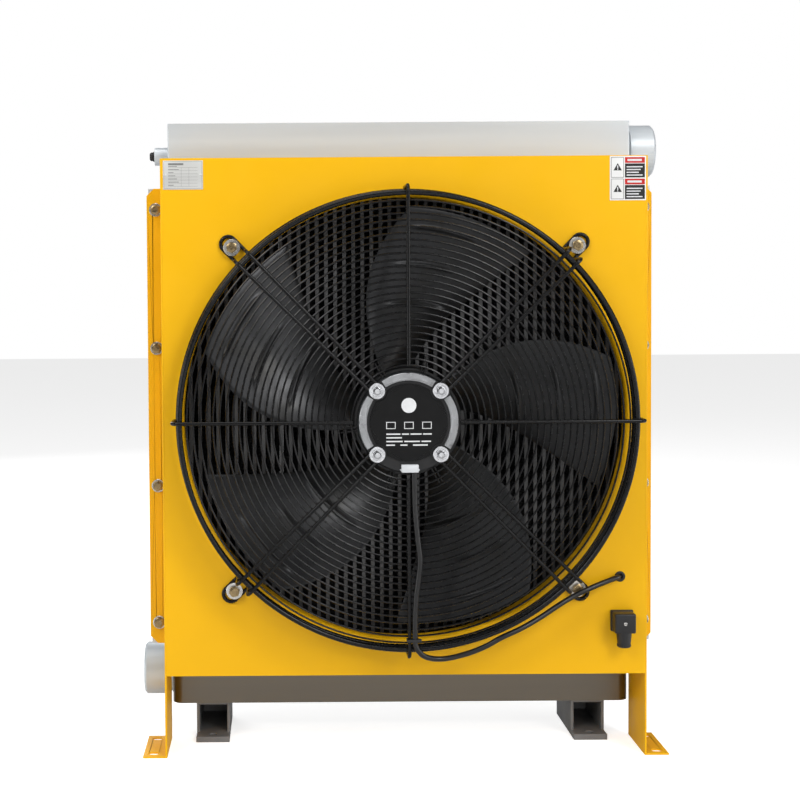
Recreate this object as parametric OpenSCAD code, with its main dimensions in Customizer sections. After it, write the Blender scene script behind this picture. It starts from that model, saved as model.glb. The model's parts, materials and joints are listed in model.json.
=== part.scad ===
// Air-cooled hydraulic oil cooler: a plate-and-fin core with two oil tanks, a fan shroud on legs,
// and an axial fan on an external-rotor motor hung in a wire guard.
// X runs to the right, Y runs from the fan side to the core side and Z up; the feet stand on z = 0
// and the four foot slots are centred on the origin.

/* [Shroud] */
// Width of the shroud over its side plates
shroud_w = 640; // [620:1:700]
// Height of the shroud's front panel
shroud_h = 685; // [670:1:720]
// Height of the panel's lower edge above the floor
panel_bottom = 110; // [90:1:130]
// Depth of the shroud from the front face to the core
shroud_depth = 80; // [75:1:110]
// Thickness of the shroud's steel sheet
sheet = 2.5; // [1.5:0.5:4]
// Clear diameter of the fan opening
opening_d = 584; // [570:1:590]
// Depth of the lip around the fan opening
lip_depth = 24; // [15:1:35]
// Width of the outward flanges that bolt to the core
flange_w = 25; // [22:1:30]

/* [Legs] */
// Depth of each leg and foot
leg_depth = 92; // [84:1:110]
// Width of each outward foot
foot_w = 30; // [26:1:45]
// Width of a foot slot
slot_w = 10; // [8:1:14]
// End-to-end length of a foot slot
slot_l = 14; // [12:1:20]
// Distance between the two slots of one foot
slot_pitch = 64; // [50:1:70]

/* [Core] */
// Front-to-back thickness of the core and its tanks
core_depth = 100; // [80:1:130]
// Height of each oil tank
tank_h = 75; // [72:1:90]
// Height of the lower tank's underside above the floor
tank_bottom = 50; // [40:1:70]
// Overall height of the cooler
cooler_h = 850; // [820:1:880]
// Number of vertical oil tubes
tube_count = 49; // [30:1:49]
// Thickness of an oil tube
tube_t = 5; // [3:0.5:6]
// Diameter of the round oil port bosses
port_d = 72; // [66:1:74]
// Bore of the oil ports, the core diameter of a G 1-1/2 thread
port_bore_d = 44.8; // [40:0.1:50]

/* [Fan] */
// Height of the fan axis above the floor
fan_z = 451; // [446:1:456]
// Diameter over the blade tips
impeller_d = 552; // [500:1:560]
// Number of blades
blade_count = 5; // [5:1:5]
// Diameter of the motor's rotor shell
rotor_d = 138; // [130:1:140]
// Diameter of the bolt circle on the motor flange
motor_pcd = 115; // [110:1:118]

/* [Guard] */
// Number of thin concentric rings
ring_count = 26; // [20:1:28]
// Radius of the innermost thin ring
ring_first_r = 73.5; // [70:0.5:80]
// Spacing of the thin rings
ring_pitch = 8.42; // [8:0.01:8.5]
// Wire diameter of the thin rings
ring_wire = 2.6; // [2:0.1:3]
// Wire diameter of the stays and arms
stay_wire = 5; // [4:0.5:5]
// Wire diameter of the two thick outer rings
rim_wire = 7; // [6:0.5:7]
// Diameter of the circle of bolts that hold the arms to the panel
tab_pcd = 640; // [636:1:644]

/* [Lead] */
// Diameter of the motor lead
lead_d = 7; // [6:0.5:7]

/* [Hidden] */
$fn = 64;

// depths along Y
face_y = -leg_depth / 2;
back_y = face_y + shroud_depth;
flange_t = 4;
core_y = back_y + flange_t;
core_back = core_y + core_depth;
mid_y = (core_y + core_back) / 2;

// shroud
half_w = shroud_w / 2;
panel_top = panel_bottom + shroud_h;
lip_bend = 6;
flange_z0 = panel_bottom + 26;
flange_z1 = panel_top - 34;
flange_cut = 10;
bolt_x = half_w + flange_w / 2;
bolt_pitch = 189;
bolt_z0 = (flange_z0 + flange_z1) / 2 - 1.5 * bolt_pitch;
slot_x = half_w + foot_w / 2 + 1.5;

// core
tank_half = half_w - 4;
side_t = 6;
core_half = tank_half - side_t;
wall = 4;
upper_z = cooler_h - tank_h;
core_z0 = tank_bottom + tank_h;
header_t = 8;
gap = (2 * core_half - tube_count * tube_t) / (tube_count + 1);
tube_pitch = gap + tube_t;
fin_t = 0.4;
fin_play = 0.1;
fin_folds = 14;
port_len = 41;
port_neck = 6;
port_thread = 30;
port_throat_d = port_bore_d - 4.8;
sensor_z = upper_z + 33;
sensor_y = mid_y - 18;
sensor_len = 20;
foot_x = 260;
core_foot_w = 46;
core_foot_y0 = core_y - 17;
core_foot_y1 = core_back + 9;
core_foot_wall_y = core_y + 5;
core_foot_t = 8;
core_foot_hole_y = core_foot_y0 + 11;

// guard, as depths along Y of the wire centres
arm_y = face_y - 61;
ring_y = arm_y + (stay_wire + ring_wire) / 2;
rim_y = arm_y + (stay_wire + rim_wire) / 2;
rim_r = 293.6;
back_rim_y = face_y - 25;
back_rim_r = 297;
leg_r = back_rim_r + (rim_wire + stay_wire) / 2;
thin_rim_y = face_y - 12;
thin_rim_r = leg_r - (stay_wire + ring_wire) / 2;
bend_r = 8;
stay_inner_r = ring_first_r - 1;
stay_end_y = thin_rim_y + 2;
arm_inner = 6.25;
arm_outer = 10;
foot_wire_y = face_y - stay_wire / 2;
foot_loop_r = tab_pcd / 2 + 6.5;
wire_gap = 1;
sides = 10;
short_stay_angles = [0, 74, 118, 187, 252, 298];
short_stay_r0 = 66.5;
short_stay_len = 21;
short_stay_gap = 2.2;

// motor and fan
flange_front = arm_y + stay_wire / 2;
motor_flange_t = 8;
flange_back = flange_front + motor_flange_t;
rim_inner_r = 53.3;
rim_outer_r = 63.6;
label_r = 50;
rotor_r = rotor_d / 2;
rotor_y0 = flange_back + 4.5;
rotor_y1 = rotor_y0 + 80;
rotor_wall = 4;
shaft_r = 7.5;
seat_r = 16;
bearing_w = 9;
bearing_tube_t = 4;
bearing_tube_l = 60;
lug_r = 11;
bearing_ys = [flange_back + 3.5, flange_back + 49.5];
stack_y0 = flange_back + 12.5;
stack_y1 = stack_y0 + 40;
stator_r = 50;
air_gap = 0.8;
tip_r = impeller_d / 2;
root_r = rotor_r - 1;
blade_y = face_y - 1;
blade_rise = 60;
blade_t = 2;
blade_tip_angle = 142.5;
blade_sweep = 28;
blade_tip_width = 37;
blade_belly = 9;
outlet_z = fan_z - rim_outer_r;

// plug, nameplate and label places on the panel
hole_x = 284;
hole_z = fan_z - 211.5;
plug_x = 286;
plug_z = 181.5;
plug_y1 = face_y - 5;
plug_y0 = plug_y1 - 20;
plug_end_z = 149;
plate_x0 = -316;
plate_z0 = panel_top - 41;
plate_w = 52.5;
plate_h = 38;
sticker_x0 = 270;
sticker_z0 = panel_top - 59;

// route of the motor lead: out of the outlet, down beside the lower stay, round under the guard,
// over the lower right arm and through the panel
lead_points = [
    [6.5, -108.4, 392], [6.6, -108.4, 372], [7, -108.4, 350], [8.2, -108.4, 327],
    [10.8, -108.4, 299], [13.5, -108.4, 273], [11.4, -108.4, 250], [8.6, -108.4, 228],
    [7, -108.4, 202], [6.8, -108.4, 180], [7.2, -108.6, 165], [12, -107.8, 156],
    [20, -104.5, 149], [34, -99, 144.5], [52, -97, 145], [78, -96.5, 151.5],
    [100, -97, 160.5], [119, -97, 171], [145, -92, 181.5], [170, -84, 193],
    [199, -75, 209], [216, -70, 217.5], [234, -67, 225.5], [252, -62.5, 232],
    [269, -56.5, 237], [280, -50.5, 239.3], [284, -42, 239.5], [284, -34, 239.5]
];
lead_steps = 2;

// Places children on the fan axis: their z becomes Y, and a turn of -a is a, seen from the front.
module on_axis() {
    translate([0, 0, fan_z]) rotate([-90, 0, 0]) children();
}

// A box from one corner to the opposite one.
module block(p, q) {
    translate(p) cube(q - p);
}

// A round bar along Y.
module y_bar(x, z, y0, y1, r) {
    translate([x, y0, z]) rotate([-90, 0, 0]) cylinder(h = y1 - y0, r = r);
}

// A round bar between two points.
module rod(p, q, d) {
    v = q - p;
    len = norm(v);
    translate(p) rotate([0, acos(v[2] / len), atan2(v[1], v[0])]) cylinder(h = len, d = d, $fn = 32);
}

// A wire ring about the fan axis; sides is the count of flats round the wire.
module ring(r, y, d, sides = 24) {
    translate([0, 0, y]) rotate_extrude($fn = 128) translate([r, 0]) circle(d = d, $fn = sides);
}

module tube_y(r_out, r_in, y0, y1) {
    translate([0, 0, y0]) difference() {
        cylinder(h = y1 - y0, r = r_out, $fn = 96);
        translate([0, 0, -1]) cylinder(h = y1 - y0 + 2, r = r_in, $fn = 96);
    }
}

// A hexagon head or nut along Y, measured across flats.
module hex_y(x, z, y0, y1, flats) {
    translate([x, y0, z]) rotate([-90, 0, 0]) cylinder(h = y1 - y0, d = flats / cos(30), $fn = 6);
}

module washer_y(x, z, y0, y1, r_out, r_in) {
    difference() {
        y_bar(x, z, y0, y1, r_out);
        y_bar(x, z, y0 - 1, y1 + 1, r_in);
    }
}

function unit(v) = v / norm(v);
function path_dir(path, i) = unit(path[min(i + 1, len(path) - 1)] - path[max(i - 1, 0)]);

// Frames are carried along the path, from normal n at its start, so that a wire doesn't twist.
function carried(path, i, n) =
    i == 0 ? n
           : let(p = carried(path, i - 1, n), d = path_dir(path, i)) unit(p - (p * d) * d);

function wire_ring(path, i, r) =
    let(d = path_dir(path, i), n = carried(path, i, [1, 0, 0]), b = cross(d, n), turn = 360 / sides)
    [for (k = [0:sides - 1]) path[i] + r * (cos(turn * k) * n + sin(turn * k) * b)];

// A round wire that follows a path of points. The path may not start out along X.
module wire(path, d) {
    last = len(path) - 1;
    color("black") polyhedron(points = [for (i = [0:last]) each wire_ring(path, i, d / 2)],
        faces = concat(
            [[for (k = [sides - 1:-1:0]) k]],
            [for (i = [0:last - 1]) for (k = [0:sides - 1]) let(m = (k + 1) % sides)
                [i * sides + k, i * sides + m, (i + 1) * sides + m, (i + 1) * sides + k]],
            [[for (k = [0:sides - 1]) last * sides + k]]
        ), convexity = 6);
}

// ---- Shroud ----

// Half section of the lip: a quarter bend from the panel into a short tube.
module lip_section() {
    r = opening_d / 2;
    bend_c = r + lip_bend;
    polygon(concat(
        [for (a = [90:15:180]) [bend_c + lip_bend * cos(a), lip_bend - lip_bend * sin(a)]],
        [[r, lip_depth], [r + sheet, lip_depth]],
        [for (a = [180:-15:90]) [bend_c + (lip_bend - sheet) * cos(a),
                                 lip_bend - (lip_bend - sheet) * sin(a)]]
    ));
}

module tab_places() {
    for (a = [45:90:315])
        translate([tab_pcd / 2 * cos(a), 0, fan_z + tab_pcd / 2 * sin(a)]) children();
}

module front_panel() {
    edge = half_w - sheet;
    color("gold") difference() {
        block([-edge, face_y, panel_bottom], [edge, face_y + sheet, panel_top]);
        on_axis() translate([0, 0, face_y - 1])
            cylinder(h = sheet + 2, r = opening_d / 2 + lip_bend, $fn = 128);
        tab_places() y_bar(0, 0, face_y - 1, face_y + sheet + 1, 4.5);
        y_bar(hole_x, hole_z, face_y - 1, face_y + sheet + 1, 5.5);
    }
}

// The rounded ring in the panel's hole that guides the air to the blades.
module fan_ring() {
    color("gold") on_axis() translate([0, 0, face_y]) rotate_extrude($fn = 128) lip_section();
}

// A flat flange behind the panel, from z up.
module panel_flange(z) {
    edge = half_w - sheet;
    color("gold") block([-edge, face_y + sheet, z], [edge, back_y, z + sheet]);
}

module panel_top_flange() { panel_flange(panel_top - sheet); }

module panel_bottom_flange() { panel_flange(panel_bottom); }

module flange_places() {
    for (i = [0:3]) translate([bolt_x, 0, bolt_z0 + i * bolt_pitch]) children();
}

// A long round-ended slot through the foot, running along X.
module foot_slot(y) {
    run = (slot_l - slot_w) / 2;
    translate([slot_x, y, -1]) {
        for (s = [-run, run]) translate([s, 0, 0]) cylinder(h = sheet + 2, d = slot_w);
        block([-run, -slot_w / 2, 0], [run, slot_w / 2, sheet + 2]);
    }
}

// The right side plate; the left one mirrors it.
module side_plate() {
    inner = half_w - sheet;
    z0 = flange_z0;
    z1 = flange_z1;
    c = flange_cut;
    x1 = half_w + flange_w;
    color("gold") difference() {
        union() {
            block([inner, face_y, 0], [half_w, back_y, panel_top]);
            block([inner, face_y, 0], [half_w, face_y + leg_depth, z0 - 6]);
            block([inner, face_y, 0], [half_w + foot_w, face_y + leg_depth, sheet]);
            translate([0, back_y, 0]) rotate([90, 0, 0]) linear_extrude(height = sheet)
                polygon([[inner, z0], [x1 - c, z0], [x1, z0 + c], [x1, z1 - c], [x1 - c, z1],
                         [inner, z1]]);
        }
        flange_places() y_bar(0, 0, back_y - sheet - 1, back_y + 1, 4.5);
        foot_slot(-slot_pitch / 2);
        foot_slot(slot_pitch / 2);
    }
}

module side_plate_right() { side_plate(); }

module side_plate_left() { mirror([1, 0, 0]) side_plate(); }

module both_sides() {
    children();
    mirror([1, 0, 0]) children();
}

module flange_bolts() {
    seat = back_y - sheet - 2;
    color("silver") both_sides() flange_places() {
        hex_y(0, 0, seat - 5.5, seat, 13);
        y_bar(0, 0, seat, core_y + 10, 4);
    }
}

module flange_washers() {
    color("silver") both_sides() flange_places() {
        washer_y(0, 0, back_y - sheet - 2, back_y - sheet, 9, 4.2);
        washer_y(0, 0, core_y, core_y + 2, 9, 4.2);
    }
}

module flange_nuts() {
    color("silver") both_sides() flange_places() difference() {
        hex_y(0, 0, core_y + 2, core_y + 8.5, 13);
        y_bar(0, 0, core_y + 1, core_y + 9.5, 4);
    }
}

// ---- Core ----

// Outline of a tank with rounded vertical corners.
module tank_outline(half, inset, r) {
    x = half - inset - r;
    y0 = core_y + inset + r;
    y1 = core_back - inset - r;
    for (px = [-x, x]) for (py = [y0, y1]) translate([px, py]) circle(r = r, $fn = 48);
    translate([-x - r, y0]) square([2 * (x + r), y1 - y0]);
    translate([-x, y0 - r]) square([2 * x, y1 - y0 + 2 * r]);
}

// A five-sided tank, open towards the core, from z0 up; flip puts its open side on top.
module tank(z0, flip, r) {
    lid_z = flip ? 0 : tank_h - wall;
    color("lightgray") translate([0, 0, z0]) difference() {
        linear_extrude(height = tank_h) tank_outline(tank_half, 0, r);
        translate([0, 0, flip ? wall : -1]) linear_extrude(height = tank_h - wall + 1)
            tank_outline(tank_half, wall, max(r - wall, 1));
        rotate([0, flip ? -90 : 90, 0])
            translate([flip ? tank_h / 2 : -tank_h / 2, mid_y, tank_half - wall - 1])
                cylinder(h = wall + 2, d = port_throat_d);
        if (!flip) rotate([0, -90, 0])
            translate([sensor_z - z0, sensor_y, tank_half - wall - 1]) cylinder(h = wall + 2, r = 5);
    }
}

module upper_tank() { tank(upper_z, false, 2); }

module lower_tank() { tank(tank_bottom, true, 14); }

module core_side() {
    x0 = core_half;
    color("lightgray") difference() {
        union() {
            block([x0, back_y, core_z0], [x0 + side_t, core_back, upper_z]);
            block([x0, back_y, flange_z0], [half_w + flange_w - 2, core_y, flange_z1]);
        }
        flange_places() y_bar(0, 0, back_y - 1, core_y + 1, 4.5);
    }
}

module core_side_right() { core_side(); }

module core_side_left() { mirror([1, 0, 0]) core_side(); }

// Left face of tube i; a gap of the same width lies before each tube.
function tube_x(i) = -core_half + gap + i * tube_pitch;

module header(z0) {
    color("lightgray") difference() {
        block([-core_half, core_y, z0], [core_half, core_back, z0 + header_t]);
        for (i = [0:tube_count - 1]) translate([tube_x(i), core_y + wall, z0 - 1])
            cube([tube_t, core_depth - 2 * wall, header_t + 2]);
    }
}

module upper_header() { header(upper_z - header_t); }

module lower_header() { header(core_z0); }

// Flat oil tubes; their ends pass through the headers.
module core_tubes() {
    skin = 0.8;
    y0 = core_y + wall;
    d = core_depth - 2 * wall;
    color("dimgray") for (i = [0:tube_count - 1])
        translate([tube_x(i), y0, core_z0]) difference() {
            cube([tube_t, d, upper_z - core_z0]);
            translate([skin, skin, -1]) cube([tube_t - 2 * skin, d - 2 * skin, upper_z]);
        }
}

// Outline of one corrugated fin strip between two tubes.
function fin_points() =
    let(z0 = core_z0 + header_t, step = (upper_z - header_t - z0) / fin_folds)
    let(left = [for (i = [0:fin_folds]) [i % 2 == 0 ? fin_play : gap - fin_play - fin_t,
                                         z0 + i * step]])
    concat(left, [for (i = [fin_folds:-1:0]) left[i] + [fin_t, 0]]);

module core_fins() {
    color("darkgray") for (i = [0:tube_count])
        translate([tube_x(i) - gap, core_back - wall, 0]) rotate([90, 0, 0])
            linear_extrude(height = core_depth - 2 * wall) polygon(fin_points());
}

// A round port boss on a narrower neck, standing on the tank's right end.
module port(z) {
    x0 = tank_half;
    r = port_d / 2;
    color("lightgray") translate([x0, mid_y, z]) rotate([0, 90, 0]) difference() {
        rotate_extrude($fn = 96) polygon([[0, 0], [r - 4, 0], [r - 4, port_neck], [r, port_neck],
            [r, port_len - 3], [r - 3, port_len], [0, port_len]]);
        translate([0, 0, -1]) cylinder(h = port_len + 2, d = port_throat_d);
        translate([0, 0, port_len - port_thread]) cylinder(h = port_thread + 1, d = port_bore_d);
    }
}

module inlet_port() { port(upper_z + tank_h / 2); }

module outlet_port() { mirror([1, 0, 0]) port(tank_bottom + tank_h / 2); }

module sensor_port() {
    color("gray") translate([-tank_half, sensor_y, sensor_z]) rotate([0, -90, 0]) difference() {
        cylinder(h = sensor_len, d = 25);
        translate([0, 0, -1]) cylinder(h = sensor_len + 2, r = 5);
    }
}

module port_plug() {
    color("black") translate([-tank_half, sensor_y, sensor_z]) rotate([0, -90, 0]) {
        translate([0, 0, sensor_len]) cylinder(h = 7, d = 14);
        translate([0, 0, sensor_len - 12]) cylinder(h = 12, r = 5);
    }
}

// A foot under the lower tank: base plate, two side walls, back web and top plate.
module core_foot() {
    w = core_foot_w / 2;
    y1 = core_foot_y1;
    yw = core_foot_wall_y;
    color("dimgray") translate([foot_x, 0, 0]) difference() {
        union() {
            block([-w, core_foot_y0, 0], [w, y1, core_foot_t]);
            block([-w, yw, core_foot_t], [4 - w, y1, tank_bottom]);
            block([w - 4, yw, core_foot_t], [w, y1, tank_bottom]);
            block([4 - w, y1 - 4, core_foot_t], [w - 4, y1, tank_bottom]);
            block([4 - w, yw, tank_bottom - 4], [w - 4, y1 - 4, tank_bottom]);
        }
        translate([0, core_foot_hole_y, -1]) cylinder(h = core_foot_t + 2, r = 5.5);
    }
}

module core_foot_right() { core_foot(); }

module core_foot_left() { mirror([1, 0, 0]) core_foot(); }

// ---- Guard ----

module guard_rings() {
    color("black") on_axis() {
        for (i = [0:ring_count - 1])
            ring(ring_first_r + i * ring_pitch, ring_y, ring_wire, sides = 8);
        ring(rim_r, rim_y, rim_wire);
    }
}

module guard_back_rings() {
    color("black") on_axis() {
        ring(back_rim_r, back_rim_y, rim_wire);
        ring(thin_rim_r, thin_rim_y, ring_wire);
    }
}

// A quarter bend of wire in the x-z plane, turning from +x to +z, that starts at the origin.
module wire_bend() {
    translate([0, 0, bend_r]) rotate([90, 0, 0]) rotate([0, 0, -90])
        rotate_extrude(angle = 90, $fn = 48) translate([bend_r, 0]) circle(d = stay_wire, $fn = 24);
}

// A single stay: a straight wire over the rings that turns back over the rim.
module guard_stay(a) {
    color("black") on_axis() rotate([0, 0, -a]) {
        rod([stay_inner_r, 0, arm_y], [leg_r - bend_r, 0, arm_y], stay_wire);
        translate([leg_r - bend_r, 0, arm_y]) wire_bend();
        rod([leg_r, 0, arm_y + bend_r], [leg_r, 0, stay_end_y], stay_wire);
    }
}

// Points of an arc about c, in the plane of the unit vectors u and v.
function arc(c, r, u, v, from, to, n) =
    [for (k = [0:n]) let(a = from + (to - from) * k / n) c + r * (cos(a) * u + sin(a) * v)];

// One half of a double arm, from the tip of its foot loop to the middle of its motor loop. The
// origin is the motor bolt and x points away from the fan axis; the half leans out by spread.
function arm_half() =
    let(
        run = foot_loop_r - motor_pcd / 2,
        spread = asin((arm_outer - arm_inner) / run),
        x = [1, 0, 0], y = [0, 1, 0], z = [0, 0, 1],
        out = cos(spread) * x + sin(spread) * y,
        start = arm_inner * (cos(spread) * y - sin(spread) * x),
        leg = leg_r - motor_pcd / 2,
        foot_bend = start + (leg + bend_r) * out + (foot_wire_y - bend_r) * z,
        top_bend = start + (leg - bend_r) * out + (arm_y + bend_r) * z
    )
    concat(
        arc(run * x + foot_wire_y * z, arm_outer, x, y, wire_gap, 90 + spread, 8),
        arc(foot_bend, bend_r, out, z, 90, 180, 4),
        arc(top_bend, bend_r, out, z, 0, -90, 4),
        arc(arm_y * z, arm_inner, x, y, 90 + spread, 180, 5)
    );

// A double arm: one wire from a loop under a bolt on the panel, round a motor bolt and back.
module guard_arm(a) {
    half = arm_half();
    other = [for (i = [len(half) - 2:-1:0]) [half[i][0], -half[i][1], half[i][2]]];
    on_axis() rotate([0, 0, -a]) translate([motor_pcd / 2, 0, 0])
        wire(concat(half, other), stay_wire);
}

module guard_arm_1() { guard_arm(135); }

module guard_arm_2() { guard_arm(45); }

module guard_arm_3() { guard_arm(-45); }

module guard_arm_4() { guard_arm(-135); }

module guard_stays() { for (a = [-90:90:180]) guard_stay(a); }

// Short wires that tie the innermost rings together behind them.
module guard_short_stays() {
    y = ring_y + ring_wire;
    g = short_stay_gap;
    color("black") on_axis() for (a = short_stay_angles) rotate([0, 0, -a]) for (s = [-g, g])
        rod([short_stay_r0, s, y], [short_stay_r0 + short_stay_len, s, y], ring_wire);
}

module guard_bolts() {
    top = face_y - stay_wire - 2;
    color("silver") tab_places() {
        hex_y(0, 0, top - 5.5, top, 13);
        y_bar(0, 0, top, face_y + sheet + 10, 4);
    }
}

module guard_washers() {
    top = face_y - stay_wire;
    color("silver") tab_places() washer_y(0, 0, top - 2, top, 11, 4.2);
}

module guard_nuts() {
    y0 = face_y + sheet;
    color("silver") tab_places() difference() {
        hex_y(0, 0, y0, y0 + 6.5, 13);
        y_bar(0, 0, y0 - 1, y0 + 7.5, 4);
    }
}

// ---- Motor ----

module motor_bolt_places() {
    for (a = [45:90:315]) rotate([0, 0, a]) translate([motor_pcd / 2, 0, 0]) children();
}

// The fixed end shield: a disc with four lugs and the tube that carries the bearings.
module motor_flange() {
    tube_r = seat_r + bearing_tube_t;
    tube_end = flange_back + bearing_tube_l;
    color("dimgray") on_axis() difference() {
        union() {
            rotate_extrude($fn = 128) polygon([[0, flange_front], [rim_outer_r, flange_front],
                [rim_outer_r, flange_back], [tube_r, flange_back], [tube_r, tube_end],
                [seat_r, tube_end], [seat_r, flange_back], [0, flange_back]]);
            motor_bolt_places() translate([0, 0, flange_front])
                cylinder(h = motor_flange_t, r = lug_r);
        }
        motor_bolt_places() translate([0, 0, flange_front - 1])
            cylinder(h = motor_flange_t + 2, r = 3);
    }
}

// Raised bright arcs between the bolts: all but the lower one, where the cable leaves.
module motor_rim() {
    color("silver") on_axis() for (a = [0, 90, 180]) rotate([0, 0, -a - 29])
        translate([0, 0, flange_front - 2]) rotate_extrude(angle = 58, $fn = 128)
            translate([rim_inner_r, 0]) square([rim_outer_r - rim_inner_r, 2]);
}

// Black cover disc, cut back round the bolts.
module motor_label() {
    color([0.08, 0.08, 0.08]) on_axis() translate([0, 0, flange_front - 2.5]) difference() {
        cylinder(h = 2.5, r = label_r, $fn = 128);
        motor_bolt_places() translate([0, 0, -1]) cylinder(h = 4.5, r = 13);
    }
}

module motor_bolts() {
    top = arm_y - stay_wire / 2;
    color("silver") on_axis() motor_bolt_places() {
        translate([0, 0, top - 2]) cylinder(h = 2, r = 10);
        translate([0, 0, top - 6]) cylinder(h = 4, d = 10 / cos(30), $fn = 6);
        translate([0, 0, top]) cylinder(h = flange_front + 7 - top, r = 3);
    }
}

module cable_outlet() {
    color("gainsboro") difference() {
        block([-10, flange_front - 8, outlet_z], [12, flange_front, outlet_z + 10]);
        translate([lead_points[0][0], lead_points[0][1], outlet_z - 1])
            cylinder(h = 9, d = lead_d);
    }
}

module stator_core() {
    color("slategray") on_axis() difference() {
        tube_y(stator_r, seat_r + bearing_tube_t, stack_y0, stack_y1);
        for (i = [0:23]) rotate([0, 0, i * 15]) translate([stator_r - 14, -2, stack_y0 - 1])
            cube([15, 4, stack_y1 - stack_y0 + 2]);
    }
}

// Copper end turns on both faces of the stator stack.
module stator_winding() {
    color("chocolate") on_axis() for (y = [stack_y0 - 4, stack_y1 + 4])
        translate([0, 0, y]) rotate_extrude($fn = 96) {
            translate([32, -4]) square([9, 8]);
            translate([32, 0]) circle(r = 4, $fn = 32);
            translate([41, 0]) circle(r = 4, $fn = 32);
        }
}

module bearing_outer_rings() {
    color("silver") on_axis() for (y = bearing_ys) tube_y(seat_r, 13, y, y + bearing_w);
}

module bearing_inner_rings() {
    color("silver") on_axis() for (y = bearing_ys) tube_y(9.5, shaft_r, y, y + bearing_w);
}

module bearing_balls() {
    ball_r = 1.7;
    color("silver") on_axis() for (y = bearing_ys) for (i = [0:8]) rotate([0, 0, i * 40])
        translate([9.5 + ball_r, 0, y + bearing_w / 2]) sphere(r = ball_r, $fn = 24);
}

module motor_shaft() {
    color("lightgray") on_axis() translate([0, 0, bearing_ys[0] - 1])
        cylinder(h = rotor_y1 - bearing_ys[0] + 1, r = shaft_r);
}

// The turning cup that carries the blades, closed behind.
module rotor_shell() {
    bore_r = rotor_r - rotor_wall;
    web_y = rotor_y1 - rotor_wall;
    color([0.12, 0.12, 0.12]) on_axis() rotate_extrude($fn = 128) polygon([
        [rotor_r, rotor_y0], [rotor_r, rotor_y1], [shaft_r, rotor_y1], [shaft_r, web_y - 10],
        [14, web_y - 10], [14, web_y], [bore_r, web_y], [bore_r, rotor_y0]]);
}

// The rotor's laminations, with an end ring on each face.
module rotor_cage() {
    inner = stator_r + air_gap;
    ring_in = inner + 3;
    outer = rotor_r - rotor_wall;
    color("slategray") on_axis() rotate_extrude($fn = 128) polygon([
        [inner, stack_y0], [inner, stack_y1], [ring_in, stack_y1], [ring_in, stack_y1 + 4],
        [outer, stack_y1 + 4], [outer, stack_y0 - 4], [ring_in, stack_y0 - 4],
        [ring_in, stack_y0]]);
}

// ---- Fan blades ----

// A blade is a grid of points: u runs from root to tip and v from the trailing edge at the back
// to the leading edge at the front. Its angles are those seen from the front.
blade_nu = 14;
blade_nv = 8;

function blade_s(r) = (tip_r - r) / (tip_r - root_r);
function blade_mid(r) = blade_tip_angle + blade_sweep * blade_s(r);
function blade_width(r) = blade_tip_width + blade_belly * sin(180 * blade_s(r));
function blade_pitch(r) = atan(blade_rise / (r * blade_width(r) * PI / 180));

function blade_point(u, v, side) =
    let(
        r = root_r + (tip_r - root_r) * u,
        a = blade_mid(r) + blade_width(r) * (v - 0.5),
        camber = 5 * sin(180 * v),
        y = blade_y + blade_rise * (0.5 - v) - camber + side * blade_t / 2 / cos(blade_pitch(r))
    )
    [r * cos(a), r * sin(a), y];

function blade_points() = [
    for (side = [-1, 1]) for (i = [0:blade_nu]) for (j = [0:blade_nv])
        blade_point(i / blade_nu, j / blade_nv, side)
];

function grid(side, i, j) = side * (blade_nu + 1) * (blade_nv + 1) + i * (blade_nv + 1) + j;

function blade_faces() = concat(
    [for (i = [0:blade_nu - 1]) for (j = [0:blade_nv - 1]) for (t = [0, 1])
        t == 0 ? [grid(0, i, j), grid(0, i, j + 1), grid(0, i + 1, j + 1)]
               : [grid(0, i, j), grid(0, i + 1, j + 1), grid(0, i + 1, j)]],
    [for (i = [0:blade_nu - 1]) for (j = [0:blade_nv - 1]) for (t = [0, 1])
        t == 0 ? [grid(1, i, j), grid(1, i + 1, j + 1), grid(1, i, j + 1)]
               : [grid(1, i, j), grid(1, i + 1, j), grid(1, i + 1, j + 1)]],
    [for (j = [0:blade_nv - 1]) for (t = [0, 1])
        t == 0 ? [grid(0, 0, j), grid(1, 0, j + 1), grid(0, 0, j + 1)]
               : [grid(0, 0, j), grid(1, 0, j), grid(1, 0, j + 1)]],
    [for (j = [0:blade_nv - 1]) for (t = [0, 1])
        t == 0 ? [grid(0, blade_nu, j), grid(0, blade_nu, j + 1), grid(1, blade_nu, j + 1)]
               : [grid(0, blade_nu, j), grid(1, blade_nu, j + 1), grid(1, blade_nu, j)]],
    [for (i = [0:blade_nu - 1]) for (t = [0, 1])
        t == 0 ? [grid(0, i, 0), grid(0, i + 1, 0), grid(1, i + 1, 0)]
               : [grid(0, i, 0), grid(1, i + 1, 0), grid(1, i, 0)]],
    [for (i = [0:blade_nu - 1]) for (t = [0, 1])
        t == 0 ? [grid(0, i, blade_nv), grid(1, i + 1, blade_nv), grid(0, i + 1, blade_nv)]
               : [grid(0, i, blade_nv), grid(1, i, blade_nv), grid(1, i + 1, blade_nv)]]
);

// Blade n of the set; the set runs clockwise as seen from the front.
module fan_blade(n) {
    color([0.2, 0.2, 0.21]) translate([0, 0, fan_z]) rotate([0, (n - 1) * 360 / blade_count, 0])
        rotate([90, 0, 0]) mirror([0, 0, 1])
            polyhedron(points = blade_points(), faces = blade_faces(), convexity = 6);
}

module fan_blade_1() { fan_blade(1); }

module fan_blade_2() { fan_blade(2); }

module fan_blade_3() { fan_blade(3); }

module fan_blade_4() { fan_blade(4); }

module fan_blade_5() { fan_blade(5); }

// ---- Lead and plug ----

function pick(i) = lead_points[max(0, min(len(lead_points) - 1, i))];

// Catmull-Rom point between route points i and i + 1.
function lead_at(i, t) =
    let(a = pick(i - 1), b = pick(i), c = pick(i + 1), d = pick(i + 2))
    0.5 * (2 * b + (c - a) * t + (2 * a - 5 * b + 4 * c - d) * t * t
        + (3 * b - a - 3 * c + d) * t * t * t);

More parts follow.
